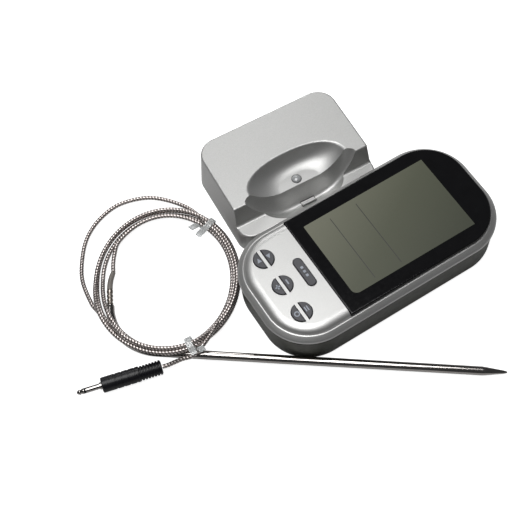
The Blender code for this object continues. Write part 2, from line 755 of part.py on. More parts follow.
def tall_ring(inset, z, front):
    """The taller back block's outline at height z."""
    half = DOCK_HALF_WIDTH + DOCK_SIDE_DRAFT * dock_lean(z) - inset
    back = DOCK_BACK_DRAFT * dock_lean(z) - inset
    corners = [STEP_CORNER] * 2 + [max(BACK_CORNER - inset, 0.5)] * 2
    return outline(-half, half, front + inset, back, corners, z)


def dock_outside():
    low = loft([
        low_ring(0.0, 0.0),
        low_ring(0.0, LEDGE_HEIGHT - EDGE_ROUND),
        low_ring(EDGE_ROUND * 0.3, LEDGE_HEIGHT - EDGE_ROUND * 0.3),
        low_ring(EDGE_ROUND, LEDGE_HEIGHT),
    ])
    foot = -DOCK_TOP_DEPTH - STEP_LEAN
    skin = 0.02
    tall = loft([
        tall_ring(skin, 1.0, foot - 1.5),
        tall_ring(skin, LEDGE_HEIGHT - 0.1, foot - 1.5),
        tall_ring(skin, LEDGE_HEIGHT + 0.25, foot - 0.7),
        tall_ring(skin, LEDGE_HEIGHT + 0.8, foot - 0.2),
        tall_ring(skin, LEDGE_HEIGHT + 1.6, foot + 0.1),
        tall_ring(skin, DOCK_HEIGHT - EDGE_ROUND, -DOCK_TOP_DEPTH - 0.1),
        tall_ring(EDGE_ROUND * 0.3, DOCK_HEIGHT - EDGE_ROUND * 0.3, -DOCK_TOP_DEPTH),
        tall_ring(EDGE_ROUND, DOCK_HEIGHT, -DOCK_TOP_DEPTH),
    ])
    return merge(low, tall)


def ridge_y(z):
    """Where the ridge between bowl and channel lies at height z."""
    return CRADLE_Y + (z - CRADLE_Z) * math.tan(CRADLE_LEAN)


def bowl_cutter(grow):
    """The room for the display's back casing, grown by a wall."""
    back_ys = [
        (CRADLE_Z, -5.7),
        (CRADLE_Z + 0.15, -4.9),
        (CRADLE_Z + 0.6, -3.8),
        (CRADLE_Z + 1.4, -2.7),
        (CRADLE_Z + 2.6, -1.9),
        (CRADLE_Z + 4.6, -1.0),
        (DOCK_HEIGHT - 0.7, -0.25),
        (DOCK_HEIGHT, 0.25),
        (DOCK_HEIGHT + 2.0, 0.9),
    ]
    rings = []
    for z, back in back_ys:
        rise = min(max((z - CRADLE_Z) / math.cos(CRADLE_LEAN), 0.0) + 0.12, CRADLE_RADIUS)
        half = CRADLE_FLAT + math.sqrt(CRADLE_RADIUS ** 2 - (CRADLE_RADIUS - rise) ** 2) + grow
        ridge = ridge_y(z)
        reach = BOWL_BACK_Y + back + grow - ridge
        level = z - grow
        ring = [(-half, ridge - 0.6, level), (half, ridge - 0.6, level)]
        power = 2 / BOWL_SQUARENESS
        for i in range(25):
            angle = math.pi * i / 24
            across = math.copysign(abs(math.cos(angle)) ** power, math.cos(angle))
            ring.append((half * across, ridge + reach * math.sin(angle) ** power, level))
        rings.append(ring)
    rings.append([(x, y, 40.0) for x, y, _ in rings[-1]])
    return loft(rings)


def channel_cutter(grow):
    """The room for the display's wider front casing, grown by a wall."""
    stations = [
        (0.0, 0.0, 0.0),
        (0.45, 0.7, 3.0),
        (1.1, 1.3, 5.8),
        (2.0, 1.8, 8.1),
        (3.0, 2.05, 9.2),
        (4.0, 2.1, 9.5),
        (5.3, 2.1, 9.2),
        (6.8, 2.1, 8.65),
        (8.7, 2.1, 7.75),
        (10.7, 2.1, 6.8),
        (12.4, 2.1, 5.5),
        (14.0, 2.1, 3.9),
    ]
    if grow:
        stations.insert(0, (-grow, 0.0, 0.0))
    lean_cos, lean_sin = math.cos(CRADLE_LEAN), math.sin(CRADLE_LEAN)
    rings = []
    for out, wider, deeper in stations:
        reach_x = CRADLE_RADIUS + wider + grow
        reach_v = CRADLE_RADIUS + deeper + grow
        flat = []
        for i in range(11):
            angle = math.pi / 2 * i / 10
            flat.append((-CRADLE_FLAT - reach_x * math.cos(angle), CRADLE_RADIUS - reach_v * math.sin(angle)))
        flat += [(-x, v) for x, v in reversed(flat)]
        rings.append([
            (x, CRADLE_Y - out * lean_cos + v * lean_sin, CRADLE_Z + v * lean_cos + out * lean_sin)
            for x, v in flat
        ])
    return loft(rings)


DOCK_SCREWS = [(-29.5, -41.5), (29.5, -41.5)]


def make_dock_shell(parent):
    shell = dock_outside()
    room = loft([
        low_ring(WALL, -1.0),
        low_ring(WALL, LEDGE_HEIGHT - WALL),
    ])
    inner_front = -DOCK_TOP_DEPTH + WALL
    merge(room, loft([
        tall_ring(WALL + 0.03, -0.5, inner_front - WALL),
        tall_ring(WALL + 0.03, DOCK_HEIGHT - WALL, inner_front - WALL),
    ]))
    carve(room, bowl_cutter(CRADLE_WALL))
    carve(room, channel_cutter(CRADLE_WALL))
    carve(shell, room)
    carve(shell, bowl_cutter(0.0))
    carve(shell, channel_cutter(0.0))
    for x, y in DOCK_SCREWS:
        merge(shell, boss(x, y, BASE_THICK + CLEAR, LEDGE_HEIGHT - WALL + 0.5))
        carve(shell, bore(x, y, 0, SCREW_LENGTH + SEAT, SCREW_RADIUS + SEAT))
    carve(shell, bore(0.0, LIGHT_Y, 8, 17, LIGHT_RADIUS + SEAT))
    carve(shell, block(CATCH_X - CATCH_HALF_LENGTH, CATCH_X + CATCH_HALF_LENGTH,
                       CATCH_Y - CATCH_HALF_WIDTH, CATCH_Y + CATCH_HALF_WIDTH, 3.5, 11, 0.3, 2))
    carve(shell, block(-DOCK_DOOR_HALF_WIDTH - CLEAR, DOCK_DOOR_HALF_WIDTH + CLEAR, -4, 5,
                       -1, BASE_THICK + 0.2, 0.1, 1))
    side = DOCK_HALF_WIDTH + 4
    jack_hole = [(0, JACK_BORE + 1.1), (20, JACK_BORE + 1.1)]
    carve(shell, turned(jack_hole, (side, JACK_Y, JACK_HEIGHT), (-1, 0, 0), 18))
    reach = 2.2 + SWITCH_TRAVEL + CLEAR
    carve(shell, block(side - 12, side, SWITCH_Y - reach, SWITCH_Y + reach,
                       SWITCH_HEIGHT - 1.3, SWITCH_HEIGHT + 1.3, 0.1, 1))
    finish(shell, "dock_shell", material("dock_shell", (0.50, 0.50, 0.49), 0.38), parent)


def dock_door_outline(gap, y_back):
    half = DOCK_DOOR_HALF_WIDTH + gap
    return (-half, half, DOCK_DOOR_FRONT_Y - gap, y_back)


def make_dock_base(parent):
    base = loft([low_ring(WALL + CLEAR, 0.0), low_ring(WALL + CLEAR, BASE_THICK)])
    box = dock_door_outline(CLEAR, 6.0)
    carve(base, block(*box, -1, 4, 0.3, 2))
    for x, y in DOCK_SCREWS:
        carve(base, bore(x, y, -1, SCREW_HEAD_THICK, SCREW_HEAD_RADIUS + CLEAR))
        carve(base, bore(x, y, -1, 4, SCREW_RADIUS + SEAT))
    finish(base, "dock_base", material("dock_base", (0.068, 0.070, 0.058), 0.55), parent)
    for i, (x, y) in enumerate(DOCK_SCREWS):
        make_screw(f"dock_screw_{i + 1}", x, y, -0.15 + SEAT, parent)


def make_dock_door(parent):
    box = dock_door_outline(0.0, DOCK_BACK_DRAFT - 0.15)
    door = block(*box, 0.2, BASE_THICK - 0.1, 0.6, 2)
    for i in range(4):
        y = DOCK_DOOR_FRONT_Y + 4.0 + 1.8 * i
        carve(door, block(-8, 8, y, y + 0.8, -1, 0.55, 0.1, 1))
    spot = (0.0, DOCK_DOOR_FRONT_Y, 0.2)
    olive = material("dock_battery_door", (0.068, 0.070, 0.058), 0.55)
    finish(door, "dock_battery_door", olive, parent, spot)


def make_dock_cells(parent):
    axis = BASE_THICK + 0.5 + CELL_RADIUS
    cell_half = (CELL_LENGTH + NUB_LENGTH) / 2
    left = -cell_half - SPRING_LENGTH - CONTACT_THICK
    right = cell_half + SEAT
    for word, step in (("front", -0.5), ("back", 0.5)):
        y = DOCK_CELL_Y + step * CELL_PITCH
        make_cell(f"dock_cell_{word}", (-cell_half, y, axis), (1, 0, 0), parent)
        make_spring(f"dock_spring_{word}", (left + CONTACT_THICK, y, axis), (1, 0, 0), parent)
    reach = CELL_PITCH / 2 + 4.0
    for word, x in (("left", left), ("right", right)):
        plate = block(x, x + CONTACT_THICK, DOCK_CELL_Y - reach, DOCK_CELL_Y + reach, 4.0, 12.0, 0.1, 1)
        name = f"dock_contact_{word}"
        finish(plate, name, material(name, (0.7, 0.68, 0.6), 0.25, 1.0), parent)


def make_dock_electronics(parent):
    front = -DOCK_TOP_DEPTH + WALL + CLEAR
    bottom = DOCK_BOARD_HEIGHT
    half = DOCK_BOARD_HALF_LENGTH
    board = block(-half, half, front, front + DOCK_BOARD_WIDTH, bottom, bottom + BOARD_THICK, 0.5, 2)
    finish(board, "dock_board", material("dock_board", (0.03, 0.16, 0.07), 0.45), parent)
    base = bottom + BOARD_THICK + SEAT
    top = CRADLE_Z + 0.2
    flange = CRADLE_Z - CRADLE_WALL - 3 * CLEAR
    dome = [(top - base + 1.1 * math.sin(a), LIGHT_RADIUS * math.cos(a)) for a in (0.5, 0.9, 1.25, 1.45)]
    foot = LIGHT_RADIUS + 0.5
    profile = [(0, foot), (flange - base - 0.2, foot), (flange - base, LIGHT_RADIUS)]
    light = turned(profile + [(top - base, LIGHT_RADIUS)] + dome, (0, LIGHT_Y, base), (0, 0, 1), 16)
    light_look = material("status_light", (0.75, 0.77, 0.78), 0.08, 0.0, 0.6)
    finish(light, "status_light", light_look, parent, (0, LIGHT_Y, base), 50)
    ring_x = DOCK_HALF_WIDTH + DOCK_SIDE_DRAFT * dock_lean(JACK_HEIGHT) - WALL - SEAT
    room = (JACK_Y - 3.2, JACK_Y + 3.2, JACK_HEIGHT - 2.9, JACK_HEIGHT + 2.9)
    jack = block(ring_x - 8.0, ring_x - 0.2, *room, 0.3, 2)
    collar = [(0, JACK_BORE + 0.95), (WALL + 0.2, JACK_BORE + 0.95)]
    merge(jack, turned(collar, (ring_x - 0.4, JACK_Y, JACK_HEIGHT), (1, 0, 0), 18))
    carve(jack, turned([(0, JACK_BORE), (9.3, JACK_BORE)], (ring_x + 4, JACK_Y, JACK_HEIGHT), (-1, 0, 0), 18))
    finish(jack, "jack_socket", material("jack_socket", (0.03, 0.03, 0.03), 0.4), parent)
    aerial = swept([(-31, -36, 6.0), (-31, -20, 6.0), (-31, -8, 6.0)], [0.5] * 3, 8)
    finish(aerial, "dock_aerial", material("dock_aerial", (0.62, 0.30, 0.16), 0.3, 1.0), parent)


def make_catch(parent):
    box = (CATCH_X - CATCH_HALF_LENGTH + CLEAR, CATCH_X + CATCH_HALF_LENGTH - CLEAR)
    tongue = block(*box, CATCH_Y - CATCH_HALF_WIDTH + CLEAR, CATCH_Y - 0.1, 3.8, 7.3, 0.2, 2, 0.2)
    step = block(*box, CATCH_Y - 0.6, CATCH_Y + CATCH_HALF_WIDTH - CLEAR, 3.8, 5.0, 0.2, 2)
    merge(tongue, step)
    finish(tongue, "cradle_catch", material("cradle_catch", (0.42, 0.42, 0.41), 0.4), parent)


def make_switch(parent):
    inner = DOCK_HALF_WIDTH + DOCK_SIDE_DRAFT * dock_lean(SWITCH_HEIGHT) - WALL
    room = (SWITCH_Y - 5.0, SWITCH_Y + 5.0, SWITCH_HEIGHT - 2.0, SWITCH_HEIGHT + 2.0)
    body = block(inner - 5.2, inner - 0.4, *room, 0.2, 1)
    finish(body, "switch_body", material("switch_body", (0.6, 0.6, 0.6), 0.35, 0.8), parent)
    spot = (inner + WALL, SWITCH_Y, SWITCH_HEIGHT)
    room = (SWITCH_Y - 2.0, SWITCH_Y + 2.0, SWITCH_HEIGHT - 1.0, SWITCH_HEIGHT + 1.0)
    knob = block(inner, inner + WALL + 0.7, *room, 0.2, 2)
    finish(knob, "switch_knob", material("switch_knob", (0.04, 0.04, 0.045), 0.5), parent, spot)


# ---------------------------------------------------------------- probe lead
PROBE_SLOPE = (PROBE_TIP[1] - PROBE_TOUCH[1]) / (PROBE_TIP[0] - PROBE_TOUCH[0])
PROBE_HEADING = math.atan(PROBE_SLOPE)


def probe_path():
    """The probe's axis, from its tip to its rear end beyond the bend."""
    centre_x = BEND_LEFT + BEND_RADIUS
    line_y = PROBE_TOUCH[1] + (centre_x - PROBE_TOUCH[0]) * PROBE_SLOPE
    centre_y = line_y + BEND_RADIUS / math.cos(PROBE_HEADING)
    start = math.pi * 1.5 + PROBE_HEADING
    bend = []
    steps = 10
    for i in range(steps + 1):
        angle = start - (start - math.pi) * i / steps
        bend.append((centre_x + BEND_RADIUS * math.cos(angle), centre_y + BEND_RADIUS * math.sin(angle)))
    rear = (BEND_LEFT, centre_y + 1.2)
    return [PROBE_TIP] + bend + [rear]


def probe_height(x):
    """The height of the probe's axis where it passes x."""
    return PROBE_RADIUS + PROBE_RISE * (PROBE_TIP[0] - x)


def make_probe(parent):
    flat = probe_path()
    heading = Vector((math.cos(PROBE_HEADING), math.sin(PROBE_HEADING)))
    tip = Vector(PROBE_TIP)
    outer = [(tip, 0.12), (tip - heading * 0.5, 0.45), (tip - heading * PROBE_CONE, PROBE_RADIUS)]
    outer += [(Vector(point), PROBE_RADIUS) for point in flat[1:]]
    inner = [(Vector(point), PROBE_BORE) for point in reversed(flat[1:])]
    inner += [(tip - heading * (PROBE_CONE + 4), PROBE_BORE)]
    rings = []
    order = outer + inner
    count = len(order)
    for i, (point, radius) in enumerate(order):
        if i < len(outer):
            ahead = outer[min(i + 1, len(outer) - 1)][0]
            behind = outer[max(i - 1, 0)][0]
        else:
            ahead = order[max(i - 1, len(outer))][0]
            behind = order[min(i + 1, count - 1)][0]
        along = (ahead - behind).normalized()
        side = Vector((along.y, -along.x, 0))
        ring = []
        for j in range(14):
            angle = math.tau * j / 14
            centre = Vector((point.x, point.y, probe_height(point.x)))
            ring.append(centre + side * radius * math.cos(angle) + Vector((0, 0, radius * math.sin(angle))))
        rings.append(ring)
    probe = loft(rings)
    finish(probe, "probe_tube", material("probe_tube", (0.72, 0.71, 0.70), 0.12, 1.0), parent, (0, 0, 0), 40)
    nose = tip - heading * (PROBE_CONE + 5.5)
    bead = turned([(0, 0.4), (0.6, 0.8), (2.4, 0.8), (3.0, 0.4)], (nose.x, nose.y, probe_height(nose.x)),
                  (-heading.x, -heading.y, 0), 10)
    finish(bead, "thermistor", material("thermistor", (0.02, 0.05, 0.02), 0.4), parent)
    rear = flat[-1]
    level = probe_height(BEND_LEFT)
    start = (rear[0], rear[1] + CLEAR, level)
    grooves = []
    for i in range(3):
        at = 1.6 + 2.0 * i
        grooves += [(at - 0.5, FERRULE_RADIUS), (at, FERRULE_RADIUS - 0.3), (at + 0.5, FERRULE_RADIUS)]
    profile = [(0, FERRULE_RADIUS - 0.15), (0.2, FERRULE_RADIUS)]
    profile += grooves + [(FERRULE_LENGTH, FERRULE_RADIUS)]
    ferrule = turned(profile, start, (0, 1, 0), 12)
    finish(ferrule, "crimp_ferrule", material("crimp_ferrule", (0.66, 0.65, 0.63), 0.25, 1.0), parent)
    y = start[1] + FERRULE_LENGTH + CLEAR
    bows = (0, 0.03, 0.12, 0.27, 0.5, 0.8, 1.2, 1.65)
    path = [(rear[0] + bow, y + 1.3 * i, level - 0.4 * bow) for i, bow in enumerate(bows)]
    sleeve = swept(path, [SLEEVE_RADIUS] * len(path), 12)
    finish(sleeve, "strain_sleeve", material("strain_sleeve", (0.30, 0.29, 0.27), 0.45), parent)


def coil_point(degrees):
    """A point on the coil's middle line."""
    lift = COIL_OVER_PROBE - COIL_HEIGHT
    turn = degrees % 360
    if COIL_LIFT_FROM < turn < COIL_LIFT_FULL:
        share = (turn - COIL_LIFT_FROM) / (COIL_LIFT_FULL - COIL_LIFT_FROM)
    elif COIL_LIFT_FULL <= turn <= COIL_LIFT_UNTIL:
        share = 1.0
    elif COIL_LIFT_UNTIL < turn < COIL_LIFT_TO:
        share = (COIL_LIFT_TO - turn) / (COIL_LIFT_TO - COIL_LIFT_UNTIL)
    else:
        share = 0.0
    eased = share * share * (3 - 2 * share)
    angle = math.radians(degrees)
    y = COIL_RADIUS_Y * math.sin(angle) - COIL_SWING * lift * eased
    return Vector((COIL_RADIUS_X * math.cos(angle), y, COIL_HEIGHT + lift * eased))


def make_cable(parent):
    look = (0.45, 0.42, 0.40)
    path = [coil_point(7.5 * i) for i in range(48)]
    coil = swept(path, [COIL_BUNDLE_RADIUS] * len(path), 10, closed=True)
    finish(coil, "cable_coil", material("cable_coil", look, 0.4, 0.8), parent)
    cable("cable_outer_loop", OUTER_LOOP_ROUTE, material("cable_outer_loop", look, 0.4, 0.8), parent)
    cable("cable_tail", TAIL_ROUTE, material("cable_tail", look, 0.4, 0.8), parent)


def make_tie(name, degrees, ends_outward, end_length, parent):
    """A clear strip wound around the coil, with both free ends on one side."""
    middle = coil_point(degrees)
    tangent = (coil_point(degrees + 1) - coil_point(degrees - 1)).normalized()
    tangent.z = 0
    tangent.normalize()
    outward = Vector((tangent.y, -tangent.x, 0))
    side = outward if ends_outward else -outward
    up = Vector((0, 0, 1))
    radius = COIL_BUNDLE_RADIUS + CLEAR + TIE_THICK
    pitch = TIE_WIDTH + 2 * CLEAR
    first_lane = middle - tangent * pitch / 2
    frames = []
    for i in range(4):
        reach = end_length * (1 - i / 4)
        frames.append((first_lane + side * reach + up * radius, tangent, up))
    steps = 14
    for i in range(steps + 1):
        share = i / steps
        angle = math.radians(TIE_WRAP) * share
        normal = up * math.cos(angle) - side * math.sin(angle)
        frames.append((first_lane + tangent * pitch * share + normal * radius, tangent, normal))
    leave = frames[-1][0]
    for i, (across, rise) in enumerate(((0.1, 0.25), (0.35, 0.6), (0.75, 0.85), (1.0, 1.0))):
        lean = math.radians(80 - 15 * i)
        spot = leave + (side * across * 0.7 + up * rise * 0.7) * end_length
        frames.append((spot, tangent, side * math.sin(lean) - up * math.cos(lean)))
    tie = ribbon(frames, TIE_WIDTH, TIE_THICK)
    finish(tie, name, material(name, (0.75, 0.76, 0.76), 0.15, 0.0, 0.5), parent)


def make_plug(parent):
    heading = (math.cos(PLUG_HEADING), math.sin(PLUG_HEADING), 0)
    rear = (*PLUG_REAR, PLUG_RADIUS)
    profile = [(0.0, 1.9), (0.0, 2.6)]
    at = 0.0
    for _ in range(6):
        profile += [(at + 0.15, PLUG_RADIUS - 0.15), (at + 0.95, PLUG_RADIUS - 0.05)]
        profile += [(at + 1.05, PLUG_RADIUS - 0.6), (at + 1.4, PLUG_RADIUS - 0.6)]
        at += 1.5
    profile += [(at + 0.1, PLUG_RADIUS), (PLUG_BODY_LENGTH - 0.4, PLUG_RADIUS)]
    profile.append((PLUG_BODY_LENGTH, PLUG_RADIUS - 0.4))
    body = turned(profile[1:], rear, heading, 16)
    finish(body, "plug_body", material("plug_body", (0.006, 0.006, 0.008), 0.4), parent)
    along = Vector(heading)
    start = Vector(rear) + along * (PLUG_BODY_LENGTH + CLEAR)
    sleeve_length = PIN_LENGTH - 4.2
    collar = PIN_RADIUS + 0.35
    barrel = [(0, collar), (0.8, collar), (0.8, PIN_RADIUS), (sleeve_length, PIN_RADIUS)]
    sleeve = turned(barrel, start, heading, 16)
    steel = (0.75, 0.74, 0.72)
    finish(sleeve, "plug_sleeve", material("plug_sleeve", steel, 0.15, 1.0), parent)
    ring_start = start + along * (sleeve_length + SEAT)
    ring = turned([(0, PIN_RADIUS - 0.03), (0.7, PIN_RADIUS - 0.03)], ring_start, heading, 16)
    finish(ring, "plug_insulator", material("plug_insulator", (0.01, 0.01, 0.01), 0.4), parent)
    tip_start = ring_start + along * (0.7 + SEAT)
    tip_profile = [(0, PIN_RADIUS), (1.0, PIN_RADIUS), (1.5, PIN_RADIUS - 0.35), (1.9, PIN_RADIUS)]
    tip_profile += [(2.6, PIN_RADIUS - 0.15), (3.2, 0.25)]
    tip = turned(tip_profile, tip_start, heading, 16)
    finish(tip, "plug_tip", material("plug_tip", steel, 0.15, 1.0), parent)


# ---------------------------------------------------------------- assembly
def display_place():
    """Where the display's own origin lies: in front of the dock."""
    dock_foot = -DOCK_DEPTH - DOCK_BASE_DEPTH_EXTRA - ORIGIN_Y
    return Vector((RECEIVER_X, dock_foot - RECEIVER_GAP - RECEIVER_HALF_WIDTH + BACK_INSET))


def lead_place():
    """Where the coil's middle lies: the probe passes just clear of the display's corner."""
    corner = Vector((RECEIVER_LEFT + RECEIVER_CORNER, RECEIVER_CORNER - RECEIVER_HALF_WIDTH))
    corner.rotate(Matrix.Rotation(RECEIVER_TURN, 2))
    heading = LEAD_TURN + PROBE_HEADING
    away = Vector((math.sin(heading), -math.cos(heading)))
    reach = RECEIVER_CORNER - BACK_INSET - 0.15 + PROBE_RADIUS + CLEAR
    touch = Vector(PROBE_TOUCH)
    touch.rotate(Matrix.Rotation(LEAD_TURN, 2))
    return display_place() + corner + away * reach - touch


def build():
    clear_scene()
    dock = place("dock_frame", (0.0, -ORIGIN_Y), 0.0)
    make_dock_shell(dock)
    make_dock_base(dock)
    make_dock_door(dock)
    make_dock_cells(dock)
    make_dock_electronics(dock)
    make_catch(dock)
    make_switch(dock)
    receiver = place("receiver_frame", display_place(), RECEIVER_TURN)
    make_front_casing(receiver)
    make_lens_panel(receiver)
    make_screen(receiver)
    make_keys(receiver)
    make_keypad_mat(receiver)
    make_main_board(receiver)
    make_back_casing(receiver)
    make_receiver_door(receiver)
    make_receiver_cells(receiver)
    lead = place("lead_frame", lead_place(), LEAD_TURN)
    make_probe(lead)
    make_cable(lead)
    make_tie("tie_back", 50.0, False, 9.0, lead)
    make_tie("tie_front", 289.0, True, 6.5, lead)
    make_plug(lead)
    bpy.context.view_layer.update()


build()
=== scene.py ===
"""Looks for the meat thermometer: a handheld display, its dock and a braided probe lead.

Shapes are drawn in millimetres in the frame of the assembly that they belong to, and each piece
is turned into metres and set in its place when it is made.
"""

import json
import math

import bmesh
import bpy
import numpy as np
from mathutils import Matrix, Vector

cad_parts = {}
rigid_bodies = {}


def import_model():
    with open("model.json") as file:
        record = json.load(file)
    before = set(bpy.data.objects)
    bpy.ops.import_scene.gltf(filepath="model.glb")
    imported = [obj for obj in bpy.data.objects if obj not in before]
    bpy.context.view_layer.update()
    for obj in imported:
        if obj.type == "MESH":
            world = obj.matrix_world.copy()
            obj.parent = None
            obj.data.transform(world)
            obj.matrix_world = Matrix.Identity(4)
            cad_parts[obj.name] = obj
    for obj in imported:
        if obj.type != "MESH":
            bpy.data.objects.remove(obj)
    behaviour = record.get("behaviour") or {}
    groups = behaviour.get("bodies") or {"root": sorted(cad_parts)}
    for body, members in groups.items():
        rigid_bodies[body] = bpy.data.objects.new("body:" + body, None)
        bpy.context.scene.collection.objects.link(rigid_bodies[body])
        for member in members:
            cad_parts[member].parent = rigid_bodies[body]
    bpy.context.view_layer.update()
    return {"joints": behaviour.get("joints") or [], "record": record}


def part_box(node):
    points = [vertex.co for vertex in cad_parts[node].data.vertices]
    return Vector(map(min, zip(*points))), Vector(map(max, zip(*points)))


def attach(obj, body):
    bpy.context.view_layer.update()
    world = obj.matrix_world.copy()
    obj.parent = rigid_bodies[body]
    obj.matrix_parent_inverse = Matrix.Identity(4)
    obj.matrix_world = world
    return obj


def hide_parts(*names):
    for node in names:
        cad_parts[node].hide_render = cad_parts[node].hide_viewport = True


MM = 0.001

for item in list(bpy.data.objects):
    bpy.data.objects.remove(item, do_unlink=True)
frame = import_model()

# ---------------------------------------------------------------- camera, as in the photograph
CAMERA_AT = Vector((-133.48, -254.04, 475.12)) * MM
CAMERA_AIM = Vector((-30.65, -22.83, 0.0)) * MM
CAMERA_RIGHT = Vector((0.91369, -0.40640, 0.0))
CAMERA_ROLL = math.radians(-5.217)
CAMERA_LENS = 78.32
SENSOR = 36.0


def make_camera():
    ahead = (CAMERA_AIM - CAMERA_AT).normalized()
    up = CAMERA_RIGHT.cross(ahead)
    right = CAMERA_RIGHT * math.cos(CAMERA_ROLL) + up * math.sin(CAMERA_ROLL)
    true_up = up * math.cos(CAMERA_ROLL) - CAMERA_RIGHT * math.sin(CAMERA_ROLL)
    data = bpy.data.cameras.new("camera")
    data.lens = CAMERA_LENS
    data.sensor_width = SENSOR
    data.clip_start = 0.01
    data.clip_end = 20.0
    camera = bpy.data.objects.new("camera", data)
    bpy.context.scene.collection.objects.link(camera)
    turn = Matrix((right, true_up, -ahead)).transposed()
    camera.matrix_world = Matrix.Translation(CAMERA_AT) @ turn.to_4x4()
    bpy.context.scene.camera = camera


# ---------------------------------------------------------------- where the assemblies lie
joints = {joint["name"]: joint for joint in frame["joints"]}


def middle(node):
    """The middle of a CAD node's box, in millimetres."""
    low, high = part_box(node)
    return (low + high) / 2 / MM


along = joints["receiver_door_slide"]["axis"]
DISPLAY_TURN = math.atan2(along[1], along[0])
SOUNDER_X = -26.0  # the sounder's place in the display's own frame
LIGHT_Y = -35.0  # the status light's place in the dock's own frame
LEAD_TURN = math.radians(-23.98)
LEAD_PLACE = (-74.44, -9.019)


def placing(x, y, turn):
    """Millimetres in an assembly's own frame to metres in the row's frame."""
    return Matrix.Scale(MM, 4) @ Matrix.Translation((x, y, 0)) @ Matrix.Rotation(turn, 4, "Z")


sounder = middle("sounder")
DISPLAY = placing(
    sounder.x - SOUNDER_X * math.cos(DISPLAY_TURN),
    sounder.y - SOUNDER_X * math.sin(DISPLAY_TURN),
    DISPLAY_TURN,
)
DOCK = placing(0.0, middle("status_light").y - LIGHT_Y, 0.0)
LEAD = placing(*LEAD_PLACE, LEAD_TURN)


# ---------------------------------------------------------------- mesh helpers
def link(name, mesh):
    made = bpy.data.objects.new(name, mesh)
    bpy.context.scene.collection.objects.link(made)
    return made


def loft(rings, closed=False):
    """Skin rings with the same number of points, with flat ends or joined ends."""
    shape = bmesh.new()
    made = [[shape.verts.new(point) for point in ring] for ring in rings]
    pairs = list(zip(made, made[1:]))
    if closed:
        pairs.append((made[-1], made[0]))
    for low, high in pairs:
        count = len(low)
        for i in range(count):
            j = (i + 1) % count
            shape.faces.new((low[i], low[j], high[j], high[i]))
    if not closed:
        shape.faces.new(list(reversed(made[0])))
        shape.faces.new(made[-1])
    bmesh.ops.recalc_face_normals(shape, faces=shape.faces)
    mesh = bpy.data.meshes.new("shape")
    shape.to_mesh(mesh)
    shape.free()
    return link("shape", mesh)


def baked(item):
    """Apply an object's modifiers."""
    bpy.context.view_layer.update()
    ready = item.evaluated_get(bpy.context.evaluated_depsgraph_get())
    mesh = bpy.data.meshes.new_from_object(ready)
    item.modifiers.clear()
    item.data = mesh
    return item


def carve(target, cutter, operation="DIFFERENCE"):
    step = target.modifiers.new("carve", "BOOLEAN")
    step.operation = operation
    step.solver = "EXACT"
    step.object = cutter
    baked(target)
    bpy.data.objects.remove(cutter, do_unlink=True)
    return target


def ease_edges(item, width, angle=40, segments=3):
    """Round the edges that are sharper than angle."""
    step = item.modifiers.new("ease", "BEVEL")
    step.width = width
    step.segments = segments
    step.limit_method = "ANGLE"
    step.angle_limit = math.radians(angle)
    step.use_clamp_overlap = True
    return baked(item)


def finish(item, name, look, place, body, nodes=(), sharp=34, weighted=True):
    """Name a piece, set it in its place and hand it to its body."""
    item.data.transform(place)
    item.name = name
    item.data.name = name
    item.data.materials.clear()
    item.data.materials.append(look)
    item.data.shade_smooth()
    item.data.set_sharp_from_angle(angle=math.radians(sharp))
    if weighted:
        step = item.modifiers.new("even", "WEIGHTED_NORMAL")
        step.keep_sharp = True
        baked(item)
    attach(item, body)
    if nodes:
        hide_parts(*nodes)
    return item


def outline(x0, x1, y0, y1, corners, z, steps=20):
    """A rounded rectangle; corners are the front-left, front-right, back-right, back-left radii."""
    centres = [
        (x0 + corners[0], y0 + corners[0], 180),
        (x1 - corners[1], y0 + corners[1], 270),
        (x1 - corners[2], y1 - corners[2], 0),
        (x0 + corners[3], y1 - corners[3], 90),
    ]
    points = []
    for (cx, cy, start), radius in zip(centres, corners):
        for i in range(steps + 1):
            angle = math.radians(start + 90 * i / steps)
            points.append((cx + radius * math.cos(angle), cy + radius * math.sin(angle), z))
    return points


def block(x0, x1, y0, y1, z0, z1, corner=0.4, steps=4):
    return loft([outline(x0, x1, y0, y1, [corner] * 4, z, steps) for z in (z0, z1)])


def turned(profile, start, heading, sides=40):
    """Turn (distance, radius) pairs about an axis."""
    ahead = Vector(heading).normalized()
    side = ahead.cross(Vector((0, 0, 1)))
    if side.length < 0.1:
        side = Vector((1, 0, 0))
    side.normalize()
    up = side.cross(ahead)
    rings = []
    for distance, radius in profile:
        centre = Vector(start) + ahead * distance
        angles = [math.tau * i / sides for i in range(sides)]
        rings.append([centre + (side * math.cos(a) + up * math.sin(a)) * radius for a in angles])
    return loft(rings)


def smooth(points, pieces):
    """Points of a smooth curve through the given points."""
    known = [Vector(point) for point in points]
    ends = [2 * known[0] - known[1]] + known + [2 * known[-1] - known[-2]]
    found = []
    for i in range(1, len(ends) - 2):
        before, here, there, after = ends[i - 1:i + 3]
        for step in range(pieces):
            t = step / pieces
            pull = (there - before) * t + (2 * before - 5 * here + 4 * there - after) * t ** 2
            pull += (3 * here - before - 3 * there + after) * t ** 3
            found.append(here + pull / 2)
    found.append(known[-1])
    return found


# ---------------------------------------------------------------- materials
def surface(name, colour, roughness, metallic=0.0, **sockets):
    """A Principled material; sockets names any other inputs, with spaces as underscores."""
    made = bpy.data.materials.new(name)
    made.use_nodes = True
    shader = made.node_tree.nodes["Principled BSDF"]
    shader.inputs["Base Color"].default_value = (*colour, 1.0)
    shader.inputs["Roughness"].default_value = roughness
    shader.inputs["Metallic"].default_value = metallic
    for socket, value in sockets.items():
        shader.inputs[socket.replace("_", " ")].default_value = value
    return made


def parts_of(made):
    tree = made.node_tree
    return tree.nodes, tree.links, tree.nodes["Principled BSDF"]


